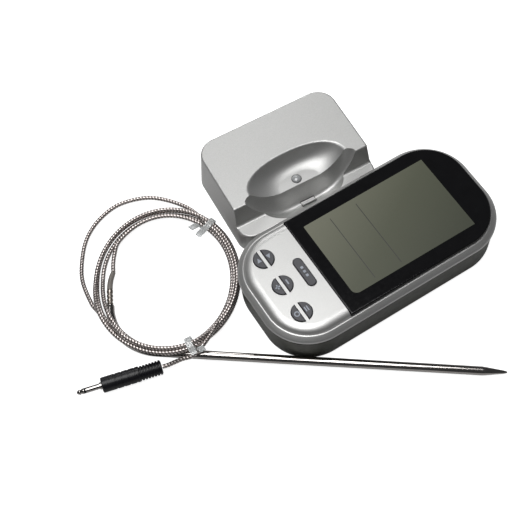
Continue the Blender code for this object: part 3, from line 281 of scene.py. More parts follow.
def noise(made, scale, detail=3.0):
    """A noise pattern in the piece's own coordinates."""
    nodes, links, _ = parts_of(made)
    where = nodes.new("ShaderNodeTexCoord")
    pattern = nodes.new("ShaderNodeTexNoise")
    pattern.inputs["Scale"].default_value = scale
    pattern.inputs["Detail"].default_value = detail
    links.new(where.outputs["Object"], pattern.inputs["Vector"])
    return pattern.outputs["Fac"]


def shade(colour, share):
    """A colour made lighter or darker."""
    return tuple(min(c * share, 1.0) for c in colour)


def blend_colour(made, factor, low, high, start=0.3, end=0.7):
    nodes, links, shader = parts_of(made)
    ramp = nodes.new("ShaderNodeValToRGB")
    ramp.color_ramp.elements[0].position = start
    ramp.color_ramp.elements[0].color = (*low, 1.0)
    ramp.color_ramp.elements[1].position = end
    ramp.color_ramp.elements[1].color = (*high, 1.0)
    links.new(factor, ramp.inputs["Fac"])
    links.new(ramp.outputs["Color"], shader.inputs["Base Color"])


def vary_roughness(made, factor, low, high):
    nodes, links, shader = parts_of(made)
    spread = nodes.new("ShaderNodeMapRange")
    spread.inputs["To Min"].default_value = low
    spread.inputs["To Max"].default_value = high
    links.new(factor, spread.inputs["Value"])
    links.new(spread.outputs["Result"], shader.inputs["Roughness"])


def roughen(made, factor, strength, depth):
    """Bump the surface; depth is in millimetres."""
    nodes, links, shader = parts_of(made)
    bump = nodes.new("ShaderNodeBump")
    bump.inputs["Strength"].default_value = strength
    bump.inputs["Distance"].default_value = depth * MM
    links.new(factor, bump.inputs["Height"])
    links.new(bump.outputs["Normal"], shader.inputs["Normal"])


def painted_silver(name, colour, roughness):
    """Silver paint: a fine metal flake under a thin clear coat."""
    made = surface(name, colour, roughness, 0.75, Coat_Weight=0.15, Coat_Roughness=0.10)
    blend_colour(made, noise(made, 5200, 2.0), shade(colour, 0.90), shade(colour, 1.10))
    vary_roughness(made, noise(made, 900, 2.0), roughness - 0.04, roughness + 0.05)
    roughen(made, noise(made, 3400, 2.0), 0.10, 0.03)
    return made


def moulded(name, colour, roughness, grain=1800, depth=0.04, **sockets):
    """Moulded plastic: a fine spark-eroded grain and slightly uneven gloss."""
    made = surface(name, colour, roughness, 0.0, **sockets)
    blend_colour(made, noise(made, 240, 4.0), shade(colour, 0.86), shade(colour, 1.14))
    vary_roughness(made, noise(made, 600, 3.0), roughness - 0.05, roughness + 0.06)
    roughen(made, noise(made, grain, 3.0), 0.25, depth)
    return made


def metal(name, colour, roughness, grain=1500, depth=0.01):
    """Bare metal with fine working marks."""
    made = surface(name, colour, roughness, 1.0)
    blend_colour(made, noise(made, 300, 3.0), shade(colour, 0.92), shade(colour, 1.05))
    vary_roughness(made, noise(made, grain, 4.0), roughness * 0.8, roughness * 1.35)
    roughen(made, noise(made, grain, 4.0), 0.12, depth)
    return made


def make_braid_look():
    """Woven steel wire, with painted shade and painted highlight: brown-black in the weave's hollows, bright
    on the crowns of the wires.
    """
    made = surface("braid", (0.42, 0.39, 0.37), 0.32, 0.9)
    weave = parts_of(made)[0].new("ShaderNodeAttribute")
    weave.attribute_name = "weave"
    # Painted shade and highlight: the weave value also sets the surface's depth, so the hollows are painted
    # dark and the crowns bright.
    blend_colour(made, weave.outputs["Fac"], (0.055, 0.042, 0.036), (0.62, 0.57, 0.55), 0.12, 0.72)
    vary_roughness(made, noise(made, 2500, 2.0), 0.24, 0.42)
    return made


def make_screen_look():
    """The display's glass over grey-olive liquid crystal, with painted light: paler towards its upper left
    and darker towards its lower right.
    """
    made = surface("lcd", (0.12, 0.125, 0.075), 0.5, 0.0, Coat_Weight=0.8, Coat_Roughness=0.03)
    nodes, links, _ = parts_of(made)
    where = nodes.new("ShaderNodeTexCoord")
    split = nodes.new("ShaderNodeSeparateXYZ")
    links.new(where.outputs["Generated"], split.inputs["Vector"])
    # Painted light: a slope across the screen, bright at its upper left and dark at its lower right.
    rise = nodes.new("ShaderNodeMath")
    rise.operation = "MULTIPLY_ADD"
    rise.inputs[1].default_value = 0.5
    rise.inputs[2].default_value = 0.48
    links.new(split.outputs["Y"], rise.inputs[0])
    painted_light_slope = nodes.new("ShaderNodeMath")
    painted_light_slope.operation = "MULTIPLY_ADD"
    painted_light_slope.inputs[1].default_value = -0.5
    links.new(split.outputs["X"], painted_light_slope.inputs[0])
    links.new(rise.outputs["Value"], painted_light_slope.inputs[2])
    # The painted light slope plus a faint random grain.
    grain = nodes.new("ShaderNodeMath")
    grain.operation = "MULTIPLY_ADD"
    grain.inputs[1].default_value = 0.04
    links.new(noise(made, 700, 3.0), grain.inputs[0])
    links.new(painted_light_slope.outputs["Value"], grain.inputs[2])
    # Dark and light ends of the painted light slope across the screen.
    blend_colour(made, grain.outputs["Value"], (0.026, 0.031, 0.013), (0.125, 0.128, 0.085), 0.08, 0.92)
    ramp = next(node for node in nodes if node.bl_idname == "ShaderNodeValToRGB")
    ramp.color_ramp.elements.new(0.5).color = (0.057, 0.063, 0.033, 1.0)
    return made


def make_board_look():
    made = surface("board", (0.02, 0.12, 0.05), 0.4, 0.0, Coat_Weight=0.4)
    blend_colour(made, noise(made, 420, 1.0), (0.015, 0.09, 0.035), (0.06, 0.20, 0.09), 0.48, 0.52)
    roughen(made, noise(made, 420, 1.0), 0.3, 0.04)
    return made


silver = painted_silver("silver_paint", (0.46, 0.46, 0.452), 0.41)
dock_silver = painted_silver("dock_silver", (0.45, 0.45, 0.442), 0.46)
# Painted shade: the back casing's silver is given the dark grey-green that it shows in shade as its colour.
olive = moulded("back_casing_painted_shade", (0.068, 0.070, 0.058), 0.48)
black_gloss = moulded("black_gloss", (0.0045, 0.0045, 0.005), 0.08, 500, 0.001)
screen = make_screen_look()
screen_ink = moulded("screen_ink", (0.020, 0.021, 0.013), 0.4)
key_look = moulded("key_grey", (0.045, 0.045, 0.052), 0.45, 2600, 0.03)
mark_look = moulded("mark_ink", (0.31, 0.34, 0.39), 0.5)
black = moulded("black_plastic", (0.006, 0.006, 0.008), 0.36, 1400, 0.02, Specular_IOR_Level=0.3)
rubber = moulded("grey_rubber", (0.10, 0.10, 0.10), 0.75, 900, 0.05)
sleeve_look = moulded("shrink_sleeve", (0.17, 0.155, 0.14), 0.42, 1100, 0.05)
clear = surface("clear_tie", (0.88, 0.90, 0.90), 0.14, 0.0, Transmission_Weight=0.72, IOR=1.45)
roughen(clear, noise(clear, 700, 3.0), 0.35, 0.12)
lamp_look = surface("lamp", (0.80, 0.82, 0.83), 0.06, 0.0, Transmission_Weight=0.6, IOR=1.45, Coat_Weight=1.0)
vary_roughness(lamp_look, noise(lamp_look, 500, 2.0), 0.04, 0.12)
polished = metal("polished_steel", (0.40, 0.38, 0.365), 0.12, 260, 0.0004)
satin_steel = metal("satin_steel", (0.30, 0.27, 0.24), 0.3)
zinc = metal("zinc", (0.45, 0.46, 0.48), 0.32)
nickel = metal("nickel", (0.62, 0.60, 0.53), 0.22)
copper = metal("copper", (0.55, 0.24, 0.12), 0.3)
jacket = moulded("cell_jacket", (0.13, 0.14, 0.16), 0.3, 500, 0.01, Coat_Weight=0.6)
bead = moulded("sensor_bead", (0.02, 0.05, 0.02), 0.2)
board = make_board_look()
braid = make_braid_look()

CAD_LOOKS = {
    "silver_shell": silver,
    "dock_silver": dock_silver,
    "olive_shell": olive,
    "black_lens": black_gloss,
    "lcd": screen,
    "key_rubber": key_look,
    "soft_rubber": rubber,
    "board": board,
    "black_plastic": black,
    "clear_plastic": lamp_look,
    "cell_jacket": jacket,
    "spring_steel": nickel,
    "copper_wire": copper,
    "screw_steel": zinc,
    "switch_can": zinc,
    "probe_steel": polished,
    "crimp_steel": satin_steel,
    "braid": braid,
    "sleeve": sleeve_look,
    "plug_black": black,
    "tie_clear": clear,
    "sensor_bead": bead,
}


def dress_cad_nodes():
    """Give every CAD node the procedural material of its slot."""
    slots = {part["node"]: part["material_slot"] for part in frame["record"]["subparts"]}
    for node, slot in slots.items():
        item = bpy.data.objects[node]
        for place in item.material_slots:
            place.material = CAD_LOOKS[slot]


# ---------------------------------------------------------------- handheld display
LEFT, RIGHT = -71.3, 49.1
HALF_WIDTH = 30.6
CORNER = 22.75
HEIGHT = 23.3
PARTING = 17.7
BACK_TOP = 17.4
WALL = 2.0
LENS_LEFT = -38.7
LENS_INSET = 3.05
LENS_SEAT = 21.0
KEY_X, KEY_Y, KEY_PITCH, KEY_RADIUS, KEY_SPLIT = -55.9, 0.8, 15.5, 4.7, 1.9
KEY_TOP = HEIGHT + 0.7
KEY_FLOOR = 20.4
KEY_GAP = 0.22
MODE_X, MODE_Y, MODE_HALF_WIDTH, MODE_HALF_LENGTH = -44.3, 1.0, 2.1, 7.8
WINDOW = (-32.3, 32.4, -20.5, 20.4)
DIVIDERS = (-20.0, -6.0)
DIVIDER_SPAN = (-18.3, 17.4)
DOOR_LEFT, DOOR_HALF_WIDTH = -8.0, 13.0


def display_ring(inset, z):
    half = HALF_WIDTH - inset
    return outline(LEFT + inset, RIGHT - inset, -half, half, [CORNER - inset] * 4, z, 26)


def half_disc(side, y, radius, flat, z, steps=24):
    """One key of a pair; side is -1 for the left one and +1 for the right one."""
    reach = math.acos(flat / radius)
    points = []
    for i in range(steps + 1):
        angle = -reach + 2 * reach * i / steps
        points.append((KEY_X + side * radius * math.cos(angle), y + radius * math.sin(angle), z))
    return points if side > 0 else list(reversed(points))


def pill(grow, z):
    half_width, half_length = MODE_HALF_WIDTH + grow, MODE_HALF_LENGTH + grow
    box = (MODE_X - half_width, MODE_X + half_width, MODE_Y - half_length, MODE_Y + half_length)
    return outline(*box, [half_width - 0.01] * 4, z, 10)


def key_rows():
    return [("upper", KEY_Y + KEY_PITCH), ("middle", KEY_Y), ("lower", KEY_Y - KEY_PITCH)]


def make_front_casing():
    profile = [
        (0.45, PARTING), (0.12, 17.8), (0.0, 18.05), (0.0, 18.5), (0.08, 18.85), (0.3, 19.22),
        (0.7, 19.58), (1.2, 19.95), (1.75, 20.33), (2.2, 20.62), (2.42, 20.74), (2.6, 20.79),
        (2.85, 20.81), (2.96, 20.86), (3.03, 21.0), (3.14, 21.3), (3.35, 21.68), (3.7, 22.08),
        (4.15, 22.42), (4.7, 22.72), (5.3, 22.95), (6.0, 23.13), (6.8, 23.25), (7.7, HEIGHT),
    ]
    casing = loft([display_ring(inset, z) for inset, z in profile])
    hollow = [(WALL, PARTING - 1), (WALL, PARTING + 0.6), (WALL + 2.0, LENS_SEAT - 1.6)]
    carve(casing, loft([display_ring(inset, z) for inset, z in hollow]))
    carve(casing, block(LEFT + 7, LENS_LEFT - 1.8, -22.0, 22.0, 18, HEIGHT - WALL, 9, 8))
    carve(casing, block(LENS_LEFT - 0.12, 70, -40, 40, LENS_SEAT, 30, 0.05, 1))
    carve(casing, block(*WINDOW, 10, 30, 0.5, 2))
    for _, y in key_rows():
        for side in (-1, 1):
            shape = (side, y, KEY_RADIUS + KEY_GAP, KEY_SPLIT / 2 - KEY_GAP)
            carve(casing, loft([half_disc(*shape, 15), half_disc(*shape, 30)]))
    carve(casing, loft([pill(KEY_GAP, 15), pill(KEY_GAP, 30)]))
    ease_edges(casing, 0.14, 50, 2)
    finish(casing, "front_shell", silver, DISPLAY, "receiver", ["front_casing"])


def lens_ring(inset, z):
    grown = LENS_INSET + inset
    half = HALF_WIDTH - grown
    radius = CORNER - grown
    return outline(LENS_LEFT + inset, RIGHT - grown, -half, half, [0.5, radius, radius, 0.5], z, 26)


def make_lens():
    profile = [
        (0.0, LENS_SEAT + 0.15), (0.0, HEIGHT - 0.55), (0.08, HEIGHT - 0.40), (0.45, HEIGHT - 0.06),
        (0.62, HEIGHT),
    ]
    panel = loft([lens_ring(inset, z) for inset, z in profile])
    finish(panel, "lens", black_gloss, DISPLAY, "receiver", ["lens_panel"], 20)
    x0, x1, y0, y1 = WINDOW
    corners = [3.0, 0.4, 0.4, 0.4]
    view = loft([outline(x0, x1, y0, y1, corners, z, 10) for z in (HEIGHT - 0.3, HEIGHT + 0.03)])
    finish(view, "screen_view", screen, DISPLAY, "receiver", ["lcd_glass"])
    for number, x in enumerate(DIVIDERS):
        strip = block(x - 0.2, x + 0.2, *DIVIDER_SPAN, HEIGHT, HEIGHT + 0.05, 0.05, 1)
        finish(strip, f"screen_divider_{number + 1}", screen_ink, DISPLAY, "receiver")


def key_profile(height, edge=0.4):
    """(inset, z) pairs of a key's rounded crown."""
    pairs = [(0.0, KEY_FLOOR)]
    for i in range(6):
        angle = math.pi / 2 * i / 5
        pairs.append((edge * (1 - math.cos(angle)), height - edge + edge * math.sin(angle)))
    return pairs


def make_key(name, rings, body, node):
    finish(loft(rings), name, key_look, DISPLAY, body, [node], 45)


def bar(x, y, half_x, half_y, z):
    return block(x - half_x, x + half_x, y - half_y, y + half_y, z - 0.1, z + 0.05, 0.15, 2)


def triangle(x, y, size, direction):
    low, high = KEY_TOP - 0.1, KEY_TOP + 0.05
    tip = (x, y + direction * size)
    left = (x - size * 0.8, y - direction * size * 0.6)
    right = (x + size * 0.8, y - direction * size * 0.6)
    return loft([[(*tip, z), (*left, z), (*right, z)] for z in (low, high)])


def loop_mark(x, y, radius, width):
    """A flat printed ring."""
    count = 24
    rings = []
    for i in range(count):
        angle = math.tau * i / count
        ray = Vector((math.cos(angle), math.sin(angle), 0))
        centre = Vector((x, y, KEY_TOP))
        inner, outer = centre + ray * (radius - width / 2), centre + ray * (radius + width / 2)
        rise = Vector((0, 0, 0.05))
        rings.append([inner - rise, outer - rise, outer + rise, inner + rise])
    return loft(rings, True)


def key_marks():
    """Plain signs printed on the keys, as (key, shapes)."""
    spot = KEY_RADIUS * 0.52
    left, right = KEY_X - spot, KEY_X + spot
    top, mid, low = (y for _, y in key_rows())
    z = KEY_TOP
    return {
        "key_upper_left": [triangle(left, top, 1.35, 1)],
        "key_upper_right": [triangle(right, top, 1.35, -1)],
        "key_middle_left": [bar(left, mid, 1.2, 0.32, z), bar(left, mid, 0.32, 1.2, z)],
        "key_middle_right": [bar(right, mid, 0.32, 1.3, z)],
        "key_lower_left": [loop_mark(left, low, 1.05, 0.5)],
        "key_lower_right": [bar(right + dx, low, 0.26, 1.25, z) for dx in (-0.55, 0.55)],
        "key_mode": [bar(MODE_X, MODE_Y + dy, 0.6, 0.6, z) for dy in (-2.2, 0.0, 2.2)],
    }


def make_keys():
    for word, y in key_rows():
        for side, hand in ((-1, "left"), (1, "right")):
            rings = [
                half_disc(side, y, KEY_RADIUS - inset, KEY_SPLIT / 2 + inset, z)
                for inset, z in key_profile(KEY_TOP)
            ]
            node = f"key_{word}_{hand}"
            make_key(f"{node}_crown", rings, f"{node}_cap", node)
    rings = [pill(-inset, z) for inset, z in key_profile(KEY_TOP)]
    make_key("key_mode_crown", rings, "key_mode_cap", "key_mode")
    for node, shapes in key_marks().items():
        for number, shape in enumerate(shapes):
            finish(shape, f"{node}_mark_{number + 1}", mark_look, DISPLAY, f"{node}_cap")


def make_back_casing():
    profile = [
        (3.0, 0.0), (2.4, 0.05), (1.95, 0.22), (1.6, 0.5), (1.35, 0.9), (1.15, 1.5), (1.02, 2.6),
        (0.95, 6.0), (0.85, 12.0), (0.85, BACK_TOP - 2.0), (1.0, BACK_TOP - 1.85), (1.8, BACK_TOP - 1.8),
        (1.8, BACK_TOP),
    ]
    casing = loft([display_ring(inset, z) for inset, z in profile])
    hollow = [(4.2, WALL), (3.2, 2.6), (2.9, 4.0), (2.9, BACK_TOP + 1)]
    carve(casing, loft([display_ring(inset, z) for inset, z in hollow]))
    carve(casing, block(DOOR_LEFT, 70, -DOOR_HALF_WIDTH, DOOR_HALF_WIDTH, -2, WALL + 0.2, 0.3, 2))
    for number in (1, 2, 3):
        spot = DISPLAY.inverted() @ (middle(f"receiver_screw_{number}") * MM)
        hole = turned([(0, 2.7), (3.1, 2.7)], (spot.x, spot.y, -1), (0, 0, 1))
        carve(casing, hole)
    # The back casing's colour is painted shade on its silver.
    finish(casing, "back_shell", olive, DISPLAY, "receiver", ["back_casing"])


# ---------------------------------------------------------------- dock
DOCK_HALF_WIDTH = 35.4
TOP_DEPTH = 39.9
DOCK_DEPTH = 50.8
DOCK_HEIGHT = 22.6
LEDGE = 11.5
STEP_LEAN = 1.9
STEP_FILLET = 1.6  # the hollow round between the ledge and the step
SIDE_DRAFT, BACK_DRAFT, FRONT_DRAFT = 1.4, 1.2, 0.4
BACK_CORNER, FRONT_CORNER, STEP_CORNER = 9.3, 6.8, 0.8
CRADLE_LEAN = math.radians(16)
CRADLE_Y, CRADLE_Z = -38.3, 15.0
CRADLE_FLAT, CRADLE_RADIUS = 7.9, 22.0
BOWL_BACK = -23.9
CATCH = (-2.8, 4.8, -46.0, -42.8)


def draft(z):
    return 1 - z / DOCK_HEIGHT


def low_ring(inset, z):
    half = DOCK_HALF_WIDTH + SIDE_DRAFT * draft(z) - inset
    back = BACK_DRAFT * draft(z) - inset
    front = -DOCK_DEPTH - FRONT_DRAFT * (1 - z / LEDGE) + inset
    corners = [max(FRONT_CORNER - inset, 0.5)] * 2 + [max(BACK_CORNER - inset, 0.5)] * 2
    return outline(-half, half, front, back, corners, z, 16)


def tall_ring(inset, z, front):
    half = DOCK_HALF_WIDTH + SIDE_DRAFT * draft(z) - inset
    back = BACK_DRAFT * draft(z) - inset
    corners = [STEP_CORNER] * 2 + [max(BACK_CORNER - inset, 0.5)] * 2
    return outline(-half, half, front + inset, back, corners, z, 16)


def rounded(top, radius, steps=5):
    """(inset, z) pairs of a rounded top edge."""
    angles = [math.pi / 2 * i / steps for i in range(steps + 1)]
    return [(radius * (1 - math.cos(a)), top - radius + radius * math.sin(a)) for a in angles]


def dock_outside():
    low = [low_ring(0.0, 0.0)] + [low_ring(inset, z) for inset, z in rounded(LEDGE, 0.9)]
    foot = -TOP_DEPTH - STEP_LEAN
    skin = 0.02
    start = foot - STEP_FILLET
    tall = [tall_ring(skin, 1.0, start), tall_ring(skin, LEDGE - 0.1, start)]
    for i in range(7):
        angle = math.pi / 2 * i / 6
        height = LEDGE + STEP_FILLET * (1 - math.cos(angle)) + 0.03
        tall.append(tall_ring(skin, height, foot - STEP_FILLET * (1 - math.sin(angle))))
    for inset, z in rounded(DOCK_HEIGHT, 0.8):
        tall.append(tall_ring(skin + inset, z, -TOP_DEPTH - 0.05))
    return carve(loft(low), loft(tall), "UNION")


def ridge_y(z):
    return CRADLE_Y + (z - CRADLE_Z) * math.tan(CRADLE_LEAN)


def bowl_cutter():
    """The scoop for the display's back casing."""
    edge = DOCK_HEIGHT
    profile = [
        (CRADLE_Z, -8.6), (CRADLE_Z + 0.1, -7.3), (CRADLE_Z + 0.3, -6.2), (CRADLE_Z + 0.6, -5.2),
        (CRADLE_Z + 1.0, -4.3), (CRADLE_Z + 1.6, -3.4), (CRADLE_Z + 2.4, -2.6), (CRADLE_Z + 3.4, -1.9),
        (CRADLE_Z + 4.6, -1.25), (CRADLE_Z + 5.8, -0.8), (edge - 0.9, -0.45), (edge - 0.55, -0.3),
        (edge - 0.28, -0.1), (edge - 0.1, 0.18), (edge, 0.6), (edge + 0.3, 1.6),
    ]
    rings = []
    for z, back in profile:
        rise = min(max((z - CRADLE_Z) / math.cos(CRADLE_LEAN), 0.0) + 0.12, CRADLE_RADIUS)
        half = CRADLE_FLAT + math.sqrt(CRADLE_RADIUS ** 2 - (CRADLE_RADIUS - rise) ** 2)
        half += max(back + 0.3, 0.0)
        ridge = ridge_y(z)
        reach = BOWL_BACK + back - ridge
        ring = [(-half, ridge - 0.6, z), (half, ridge - 0.6, z)]
        power = 2 / 2.2
        for i in range(61):
            angle = math.pi * i / 60
            across = math.copysign(abs(math.cos(angle)) ** power, math.cos(angle))
            ring.append((half * across, ridge + reach * math.sin(angle) ** power, z))
        rings.append(ring)
    rings.append([(x, y, 40.0) for x, y, _ in rings[-1]])
    return loft(rings)


def channel_cutter():
    """The scoop for the display's wider front casing."""
    stations = [
        (0.0, 0.0, 0.0), (0.12, 0.25, 0.9), (0.3, 0.5, 2.0), (0.55, 0.8, 3.4), (0.9, 1.1, 4.9),
        (1.4, 1.5, 6.6), (2.0, 1.8, 8.1), (2.6, 1.95, 8.9), (3.3, 2.1, 9.35), (4.0, 2.1, 9.5),
        (4.7, 2.1, 9.4), (5.5, 2.1, 9.15), (6.8, 2.1, 8.65), (8.7, 2.1, 7.75), (10.7, 2.1, 6.8),
        (12.4, 2.1, 5.5), (14.0, 2.1, 3.9),
    ]
    lean_cos, lean_sin = math.cos(CRADLE_LEAN), math.sin(CRADLE_LEAN)
    rings = []
    for out, wider, deeper in stations:
        flat = []
        for i in range(27):
            angle = math.pi / 2 * i / 26
            across = -CRADLE_FLAT - (CRADLE_RADIUS + wider) * math.cos(angle)
            flat.append((across, CRADLE_RADIUS - (CRADLE_RADIUS + deeper) * math.sin(angle)))
        flat += [(-x, v) for x, v in reversed(flat)]
        rings.append([
            (x, CRADLE_Y - out * lean_cos + v * lean_sin, CRADLE_Z + v * lean_cos + out * lean_sin)
            for x, v in flat
        ])
    return loft(rings)


def make_dock():
    shell = dock_outside()
    room = [low_ring(WALL, -1.0), low_ring(WALL, 4.0)]
    carve(shell, loft(room))
    carve(shell, bowl_cutter())
    carve(shell, channel_cutter())
    carve(shell, turned([(0, 2.45), (8, 2.45)], (0, LIGHT_Y, 12), (0, 0, 1)))
    carve(shell, block(*CATCH, 4.5, 12, 0.3, 3))
    carve(shell, block(-25.85, 25.85, -4, 5, -1, 2.2, 0.1, 1))
    side = DOCK_HALF_WIDTH + 4
    jack = (DOCK.inverted() @ (middle("jack_socket") * MM)).y
    knob = (DOCK.inverted() @ (middle("switch_knob") * MM)).y
    carve(shell, turned([(0, 2.4), (8, 2.4)], (side, jack, 7.0), (-1, 0, 0)))
    carve(shell, block(side - 8, side, knob - 4.0, knob + 4.0, 5.7, 8.3, 0.2, 2))
    ease_edges(shell, 0.3, 30, 3)
    finish(shell, "dock_body", dock_silver, DOCK, "dock", ["dock_shell"], 40)


def make_lamp():
    """The clear dome and the collar that it sits in."""
    radius = 2.2
    dome = [(0, radius), (0.55, radius)]
    dome += [(0.55 + 1.15 * math.sin(a), radius * math.cos(a)) for a in np.linspace(0.1, 1.5, 10)]
    lamp = turned(dome, (0, LIGHT_Y, CRADLE_Z - 0.55), (0, 0, 1), 48)
    finish(lamp, "lamp_dome", lamp_look, DOCK, "dock", ["status_light"])
    ring = [(0, 2.38), (0.25, 2.38), (0.25, 2.15), (0, 2.15)]
    collar = turned(ring, (0, LIGHT_Y, CRADLE_Z - 0.35), (0, 0, 1), 48)
    finish(collar, "lamp_collar", black, DOCK, "dock")
    stack = [(0, 1.0), (0.25, 0.8), (0.3, 0.3)]
    chip = turned(stack, (0, LIGHT_Y, CRADLE_Z - 0.9), (0, 0, 1), 24)
    finish(chip, "lamp_chip", nickel, DOCK, "dock")


def make_catch():
    """The sprung tongue in the cradle's slot."""
    x0, x1, y0, y1 = CATCH
    gap = 0.3
    lip = block(x0 + gap, x1 - gap, y0 + gap, y0 + 1.3, 4.6, 8.7, 0.25, 4)
    ease_edges(lip, 0.25)
    tongue = block(x0 + gap, x1 - gap, y0 + 1.2, y1 - gap, 4.6, 6.9, 0.25, 4)
    carve(lip, tongue, "UNION")
    finish(lip, "catch_tongue", dock_silver, DOCK, "dock", ["cradle_catch"])


# ---------------------------------------------------------------- probe lead
PROBE_RADIUS = 2.0
PROBE_TIP = (146.4, -60.4)
PROBE_TOUCH = (58.8, -46.75)
PROBE_RISE = 0.015
PROBE_CONE = 11.0
BEND_RADIUS, BEND_LEFT = 24.0, -26.7
SLOPE = (PROBE_TIP[1] - PROBE_TOUCH[1]) / (PROBE_TIP[0] - PROBE_TOUCH[0])
HEADING = math.atan(SLOPE)
BEND_X = BEND_LEFT + BEND_RADIUS
BEND_Y = PROBE_TOUCH[1] + (BEND_X - PROBE_TOUCH[0]) * SLOPE + BEND_RADIUS / math.cos(HEADING)
FERRULE_RADIUS, FERRULE_LENGTH = 1.45, 7.5
FERRULE_Y = BEND_Y + 1.5

CORD_DIAMETER = 2.1
COIL_X, COIL_Y, COIL_Z = 31.2, 35.2, 3.7
COIL_RAISED = 9.5
COIL_SWING = 0.53
LIFT = (174.0, 202.0, 288.0, 316.0)  # where the coil starts to rise, is up, starts to fall, is down
STRAND_RING = 1.66  # how far a turn lies from the middle of the bundle
LEFT_SPREAD = 0.35  # how much looser the bundle lies at its left
COIL_START = 141.0
COIL_TURNS = 4
COIL_LEAVES = 219.0
COIL_REJOINS = 54.0
COIL_ENDS = -48.0
COIL_STEP = 12.0

START_ROUTE = [(-25.05, 5.9, 3.93), (-25.0, 10.5, 3.8), (-24.3, 15.5, 3.7)]
OUTER_LOOP_ROUTE = [
    (-32.4, -14.6, 7.2),
    (-35.3, -9.6, 6.6),
    (-39.0, 1.2, 4.8),
    (-39.8, 10.5, 3.5),
    (-38.6, 22.0, 2.3),
    (-35.7, 30.2, 1.6),
    (-30.6, 37.4, 1.2),
    (-23.5, 43.0, 1.15),
    (-15.2, 45.6, 1.15),
    (-6.4, 45.9, 1.15),
    (2.3, 43.2, 1.15),
    (9.8, 39.0, 1.4),
    (14.5, 34.5, 2.2),
]
TAIL_LEAVES = [(17.6, -33.0, 8.0), (13.8, -38.3, 9.0)]
TAIL_ROUTE = [
    (9.6, -41.3, 7.4),
    (5.2, -41.8, 6.2),
    (1.0, -42.5, 4.6),
    (-1.5, -43.0, 3.7),
    (-4.1, -43.53, 3.5),
]


def probe_height(x):
    return PROBE_RADIUS + PROBE_RISE * (PROBE_TIP[0] - x)


def sweep(path, radii, sides=40):
    """A round tube along a path of points."""
    rings = []
    for i, (point, radius) in enumerate(zip(path, radii)):
        ahead = (path[min(i + 1, len(path) - 1)] - path[max(i - 1, 0)]).normalized()
        side = ahead.cross(Vector((0, 0, 1))).normalized()
        up = side.cross(ahead)
        angles = [math.tau * j / sides for j in range(sides)]
        rings.append([point + (side * math.cos(a) + up * math.sin(a)) * radius for a in angles])
    return loft(rings)


def make_probe():
    tip = Vector((*PROBE_TIP, probe_height(PROBE_TIP[0])))
    back = Vector((-math.cos(HEADING), -math.sin(HEADING), PROBE_RISE * math.cos(HEADING)))
    path = [tip, tip + back * 0.25, tip + back * 0.7]
    radii = [0.1, 0.38, 0.55]
    for i in range(1, 7):
        path.append(tip + back * PROBE_CONE * i / 6)
        radii.append(0.55 + (PROBE_RADIUS - 0.55) * min(i / 6 * 1.03, 1.0))
    start = math.pi * 1.5 + HEADING
    for i in range(29):
        angle = start - (start - math.pi) * i / 28
        x, y = BEND_X + BEND_RADIUS * math.cos(angle), BEND_Y + BEND_RADIUS * math.sin(angle)
        path.append(Vector((x, y, probe_height(x))))
        radii.append(PROBE_RADIUS)
    for step, radius in ((0.9, PROBE_RADIUS), (1.1, PROBE_RADIUS - 0.1), (1.2, PROBE_RADIUS - 0.35)):
        path.append(Vector((BEND_LEFT, BEND_Y + step, probe_height(BEND_LEFT))))
        radii.append(radius)
    finish(sweep(path, radii, 48), "probe", polished, LEAD, "probe_lead", ["probe_tube", "thermistor"], 30)
    level = probe_height(BEND_LEFT)
    profile = [(0, FERRULE_RADIUS - 0.25), (0.12, FERRULE_RADIUS)]
    for i in range(3):
        at = 1.6 + 2.0 * i
        for step, dent in ((-0.7, 0.0), (-0.4, 0.14), (-0.15, 0.3), (0.15, 0.3), (0.4, 0.14), (0.7, 0.0)):
            profile.append((at + step, FERRULE_RADIUS - dent))
    profile += [(FERRULE_LENGTH - 0.12, FERRULE_RADIUS), (FERRULE_LENGTH, FERRULE_RADIUS - 0.2)]
    ferrule = turned(profile, (BEND_LEFT, FERRULE_Y, level), (0, 1, 0))
    finish(ferrule, "crimp", satin_steel, LEAD, "probe_lead", ["crimp_ferrule"])
    bows = (0, 0.03, 0.12, 0.27, 0.5, 0.8, 1.2, 1.65)
    y = FERRULE_Y + FERRULE_LENGTH + 0.3
    path = [Vector((BEND_LEFT + bow, y + 1.3 * i, level - 0.4 * bow)) for i, bow in enumerate(bows)]
    radii = [1.15, 1.32, 1.3, 1.28, 1.26, 1.24, 1.22, 1.12]
    tube = sweep(smooth(path, 3), np.repeat(radii, 3)[2:])
    finish(tube, "sleeve", sleeve_look, LEAD, "probe_lead", ["strain_sleeve"])


def coil_point(degrees):
    """A point on the middle line of the coil's bundle."""
    turn = degrees % 360
    rise, up, fall, down = LIFT
    if rise < turn < up:
        share = (turn - rise) / (up - rise)
    elif up <= turn <= fall:
        share = 1.0
    elif fall < turn < down:
        share = (down - turn) / (down - fall)
    else:
        share = 0.0
    lift = (COIL_RAISED - COIL_Z) * share * share * (3 - 2 * share)
    angle = math.radians(degrees)
    return Vector((COIL_X * math.cos(angle), COIL_Y * math.sin(angle) - COIL_SWING * lift, COIL_Z + lift))


def strand_point(degrees, turns):
    """Where the cord lies in the bundle after that many turns; the turns lie in a ring of five."""
    centre = coil_point(degrees)
    angle = math.radians(degrees)
    outward = Vector((math.cos(angle), math.sin(angle), 0))
    lane = math.radians(180 + 72 * turns + 9 * math.sin(3 * angle))
    loose = 1.0 + 0.10 * math.sin(2 * angle + turns * 2.3)
    loose += LEFT_SPREAD * max(-math.cos(angle), 0.0) ** 2
    reach = STRAND_RING * loose
    return centre + outward * math.cos(lane) * reach + Vector((0, 0, math.sin(lane) * STRAND_RING))


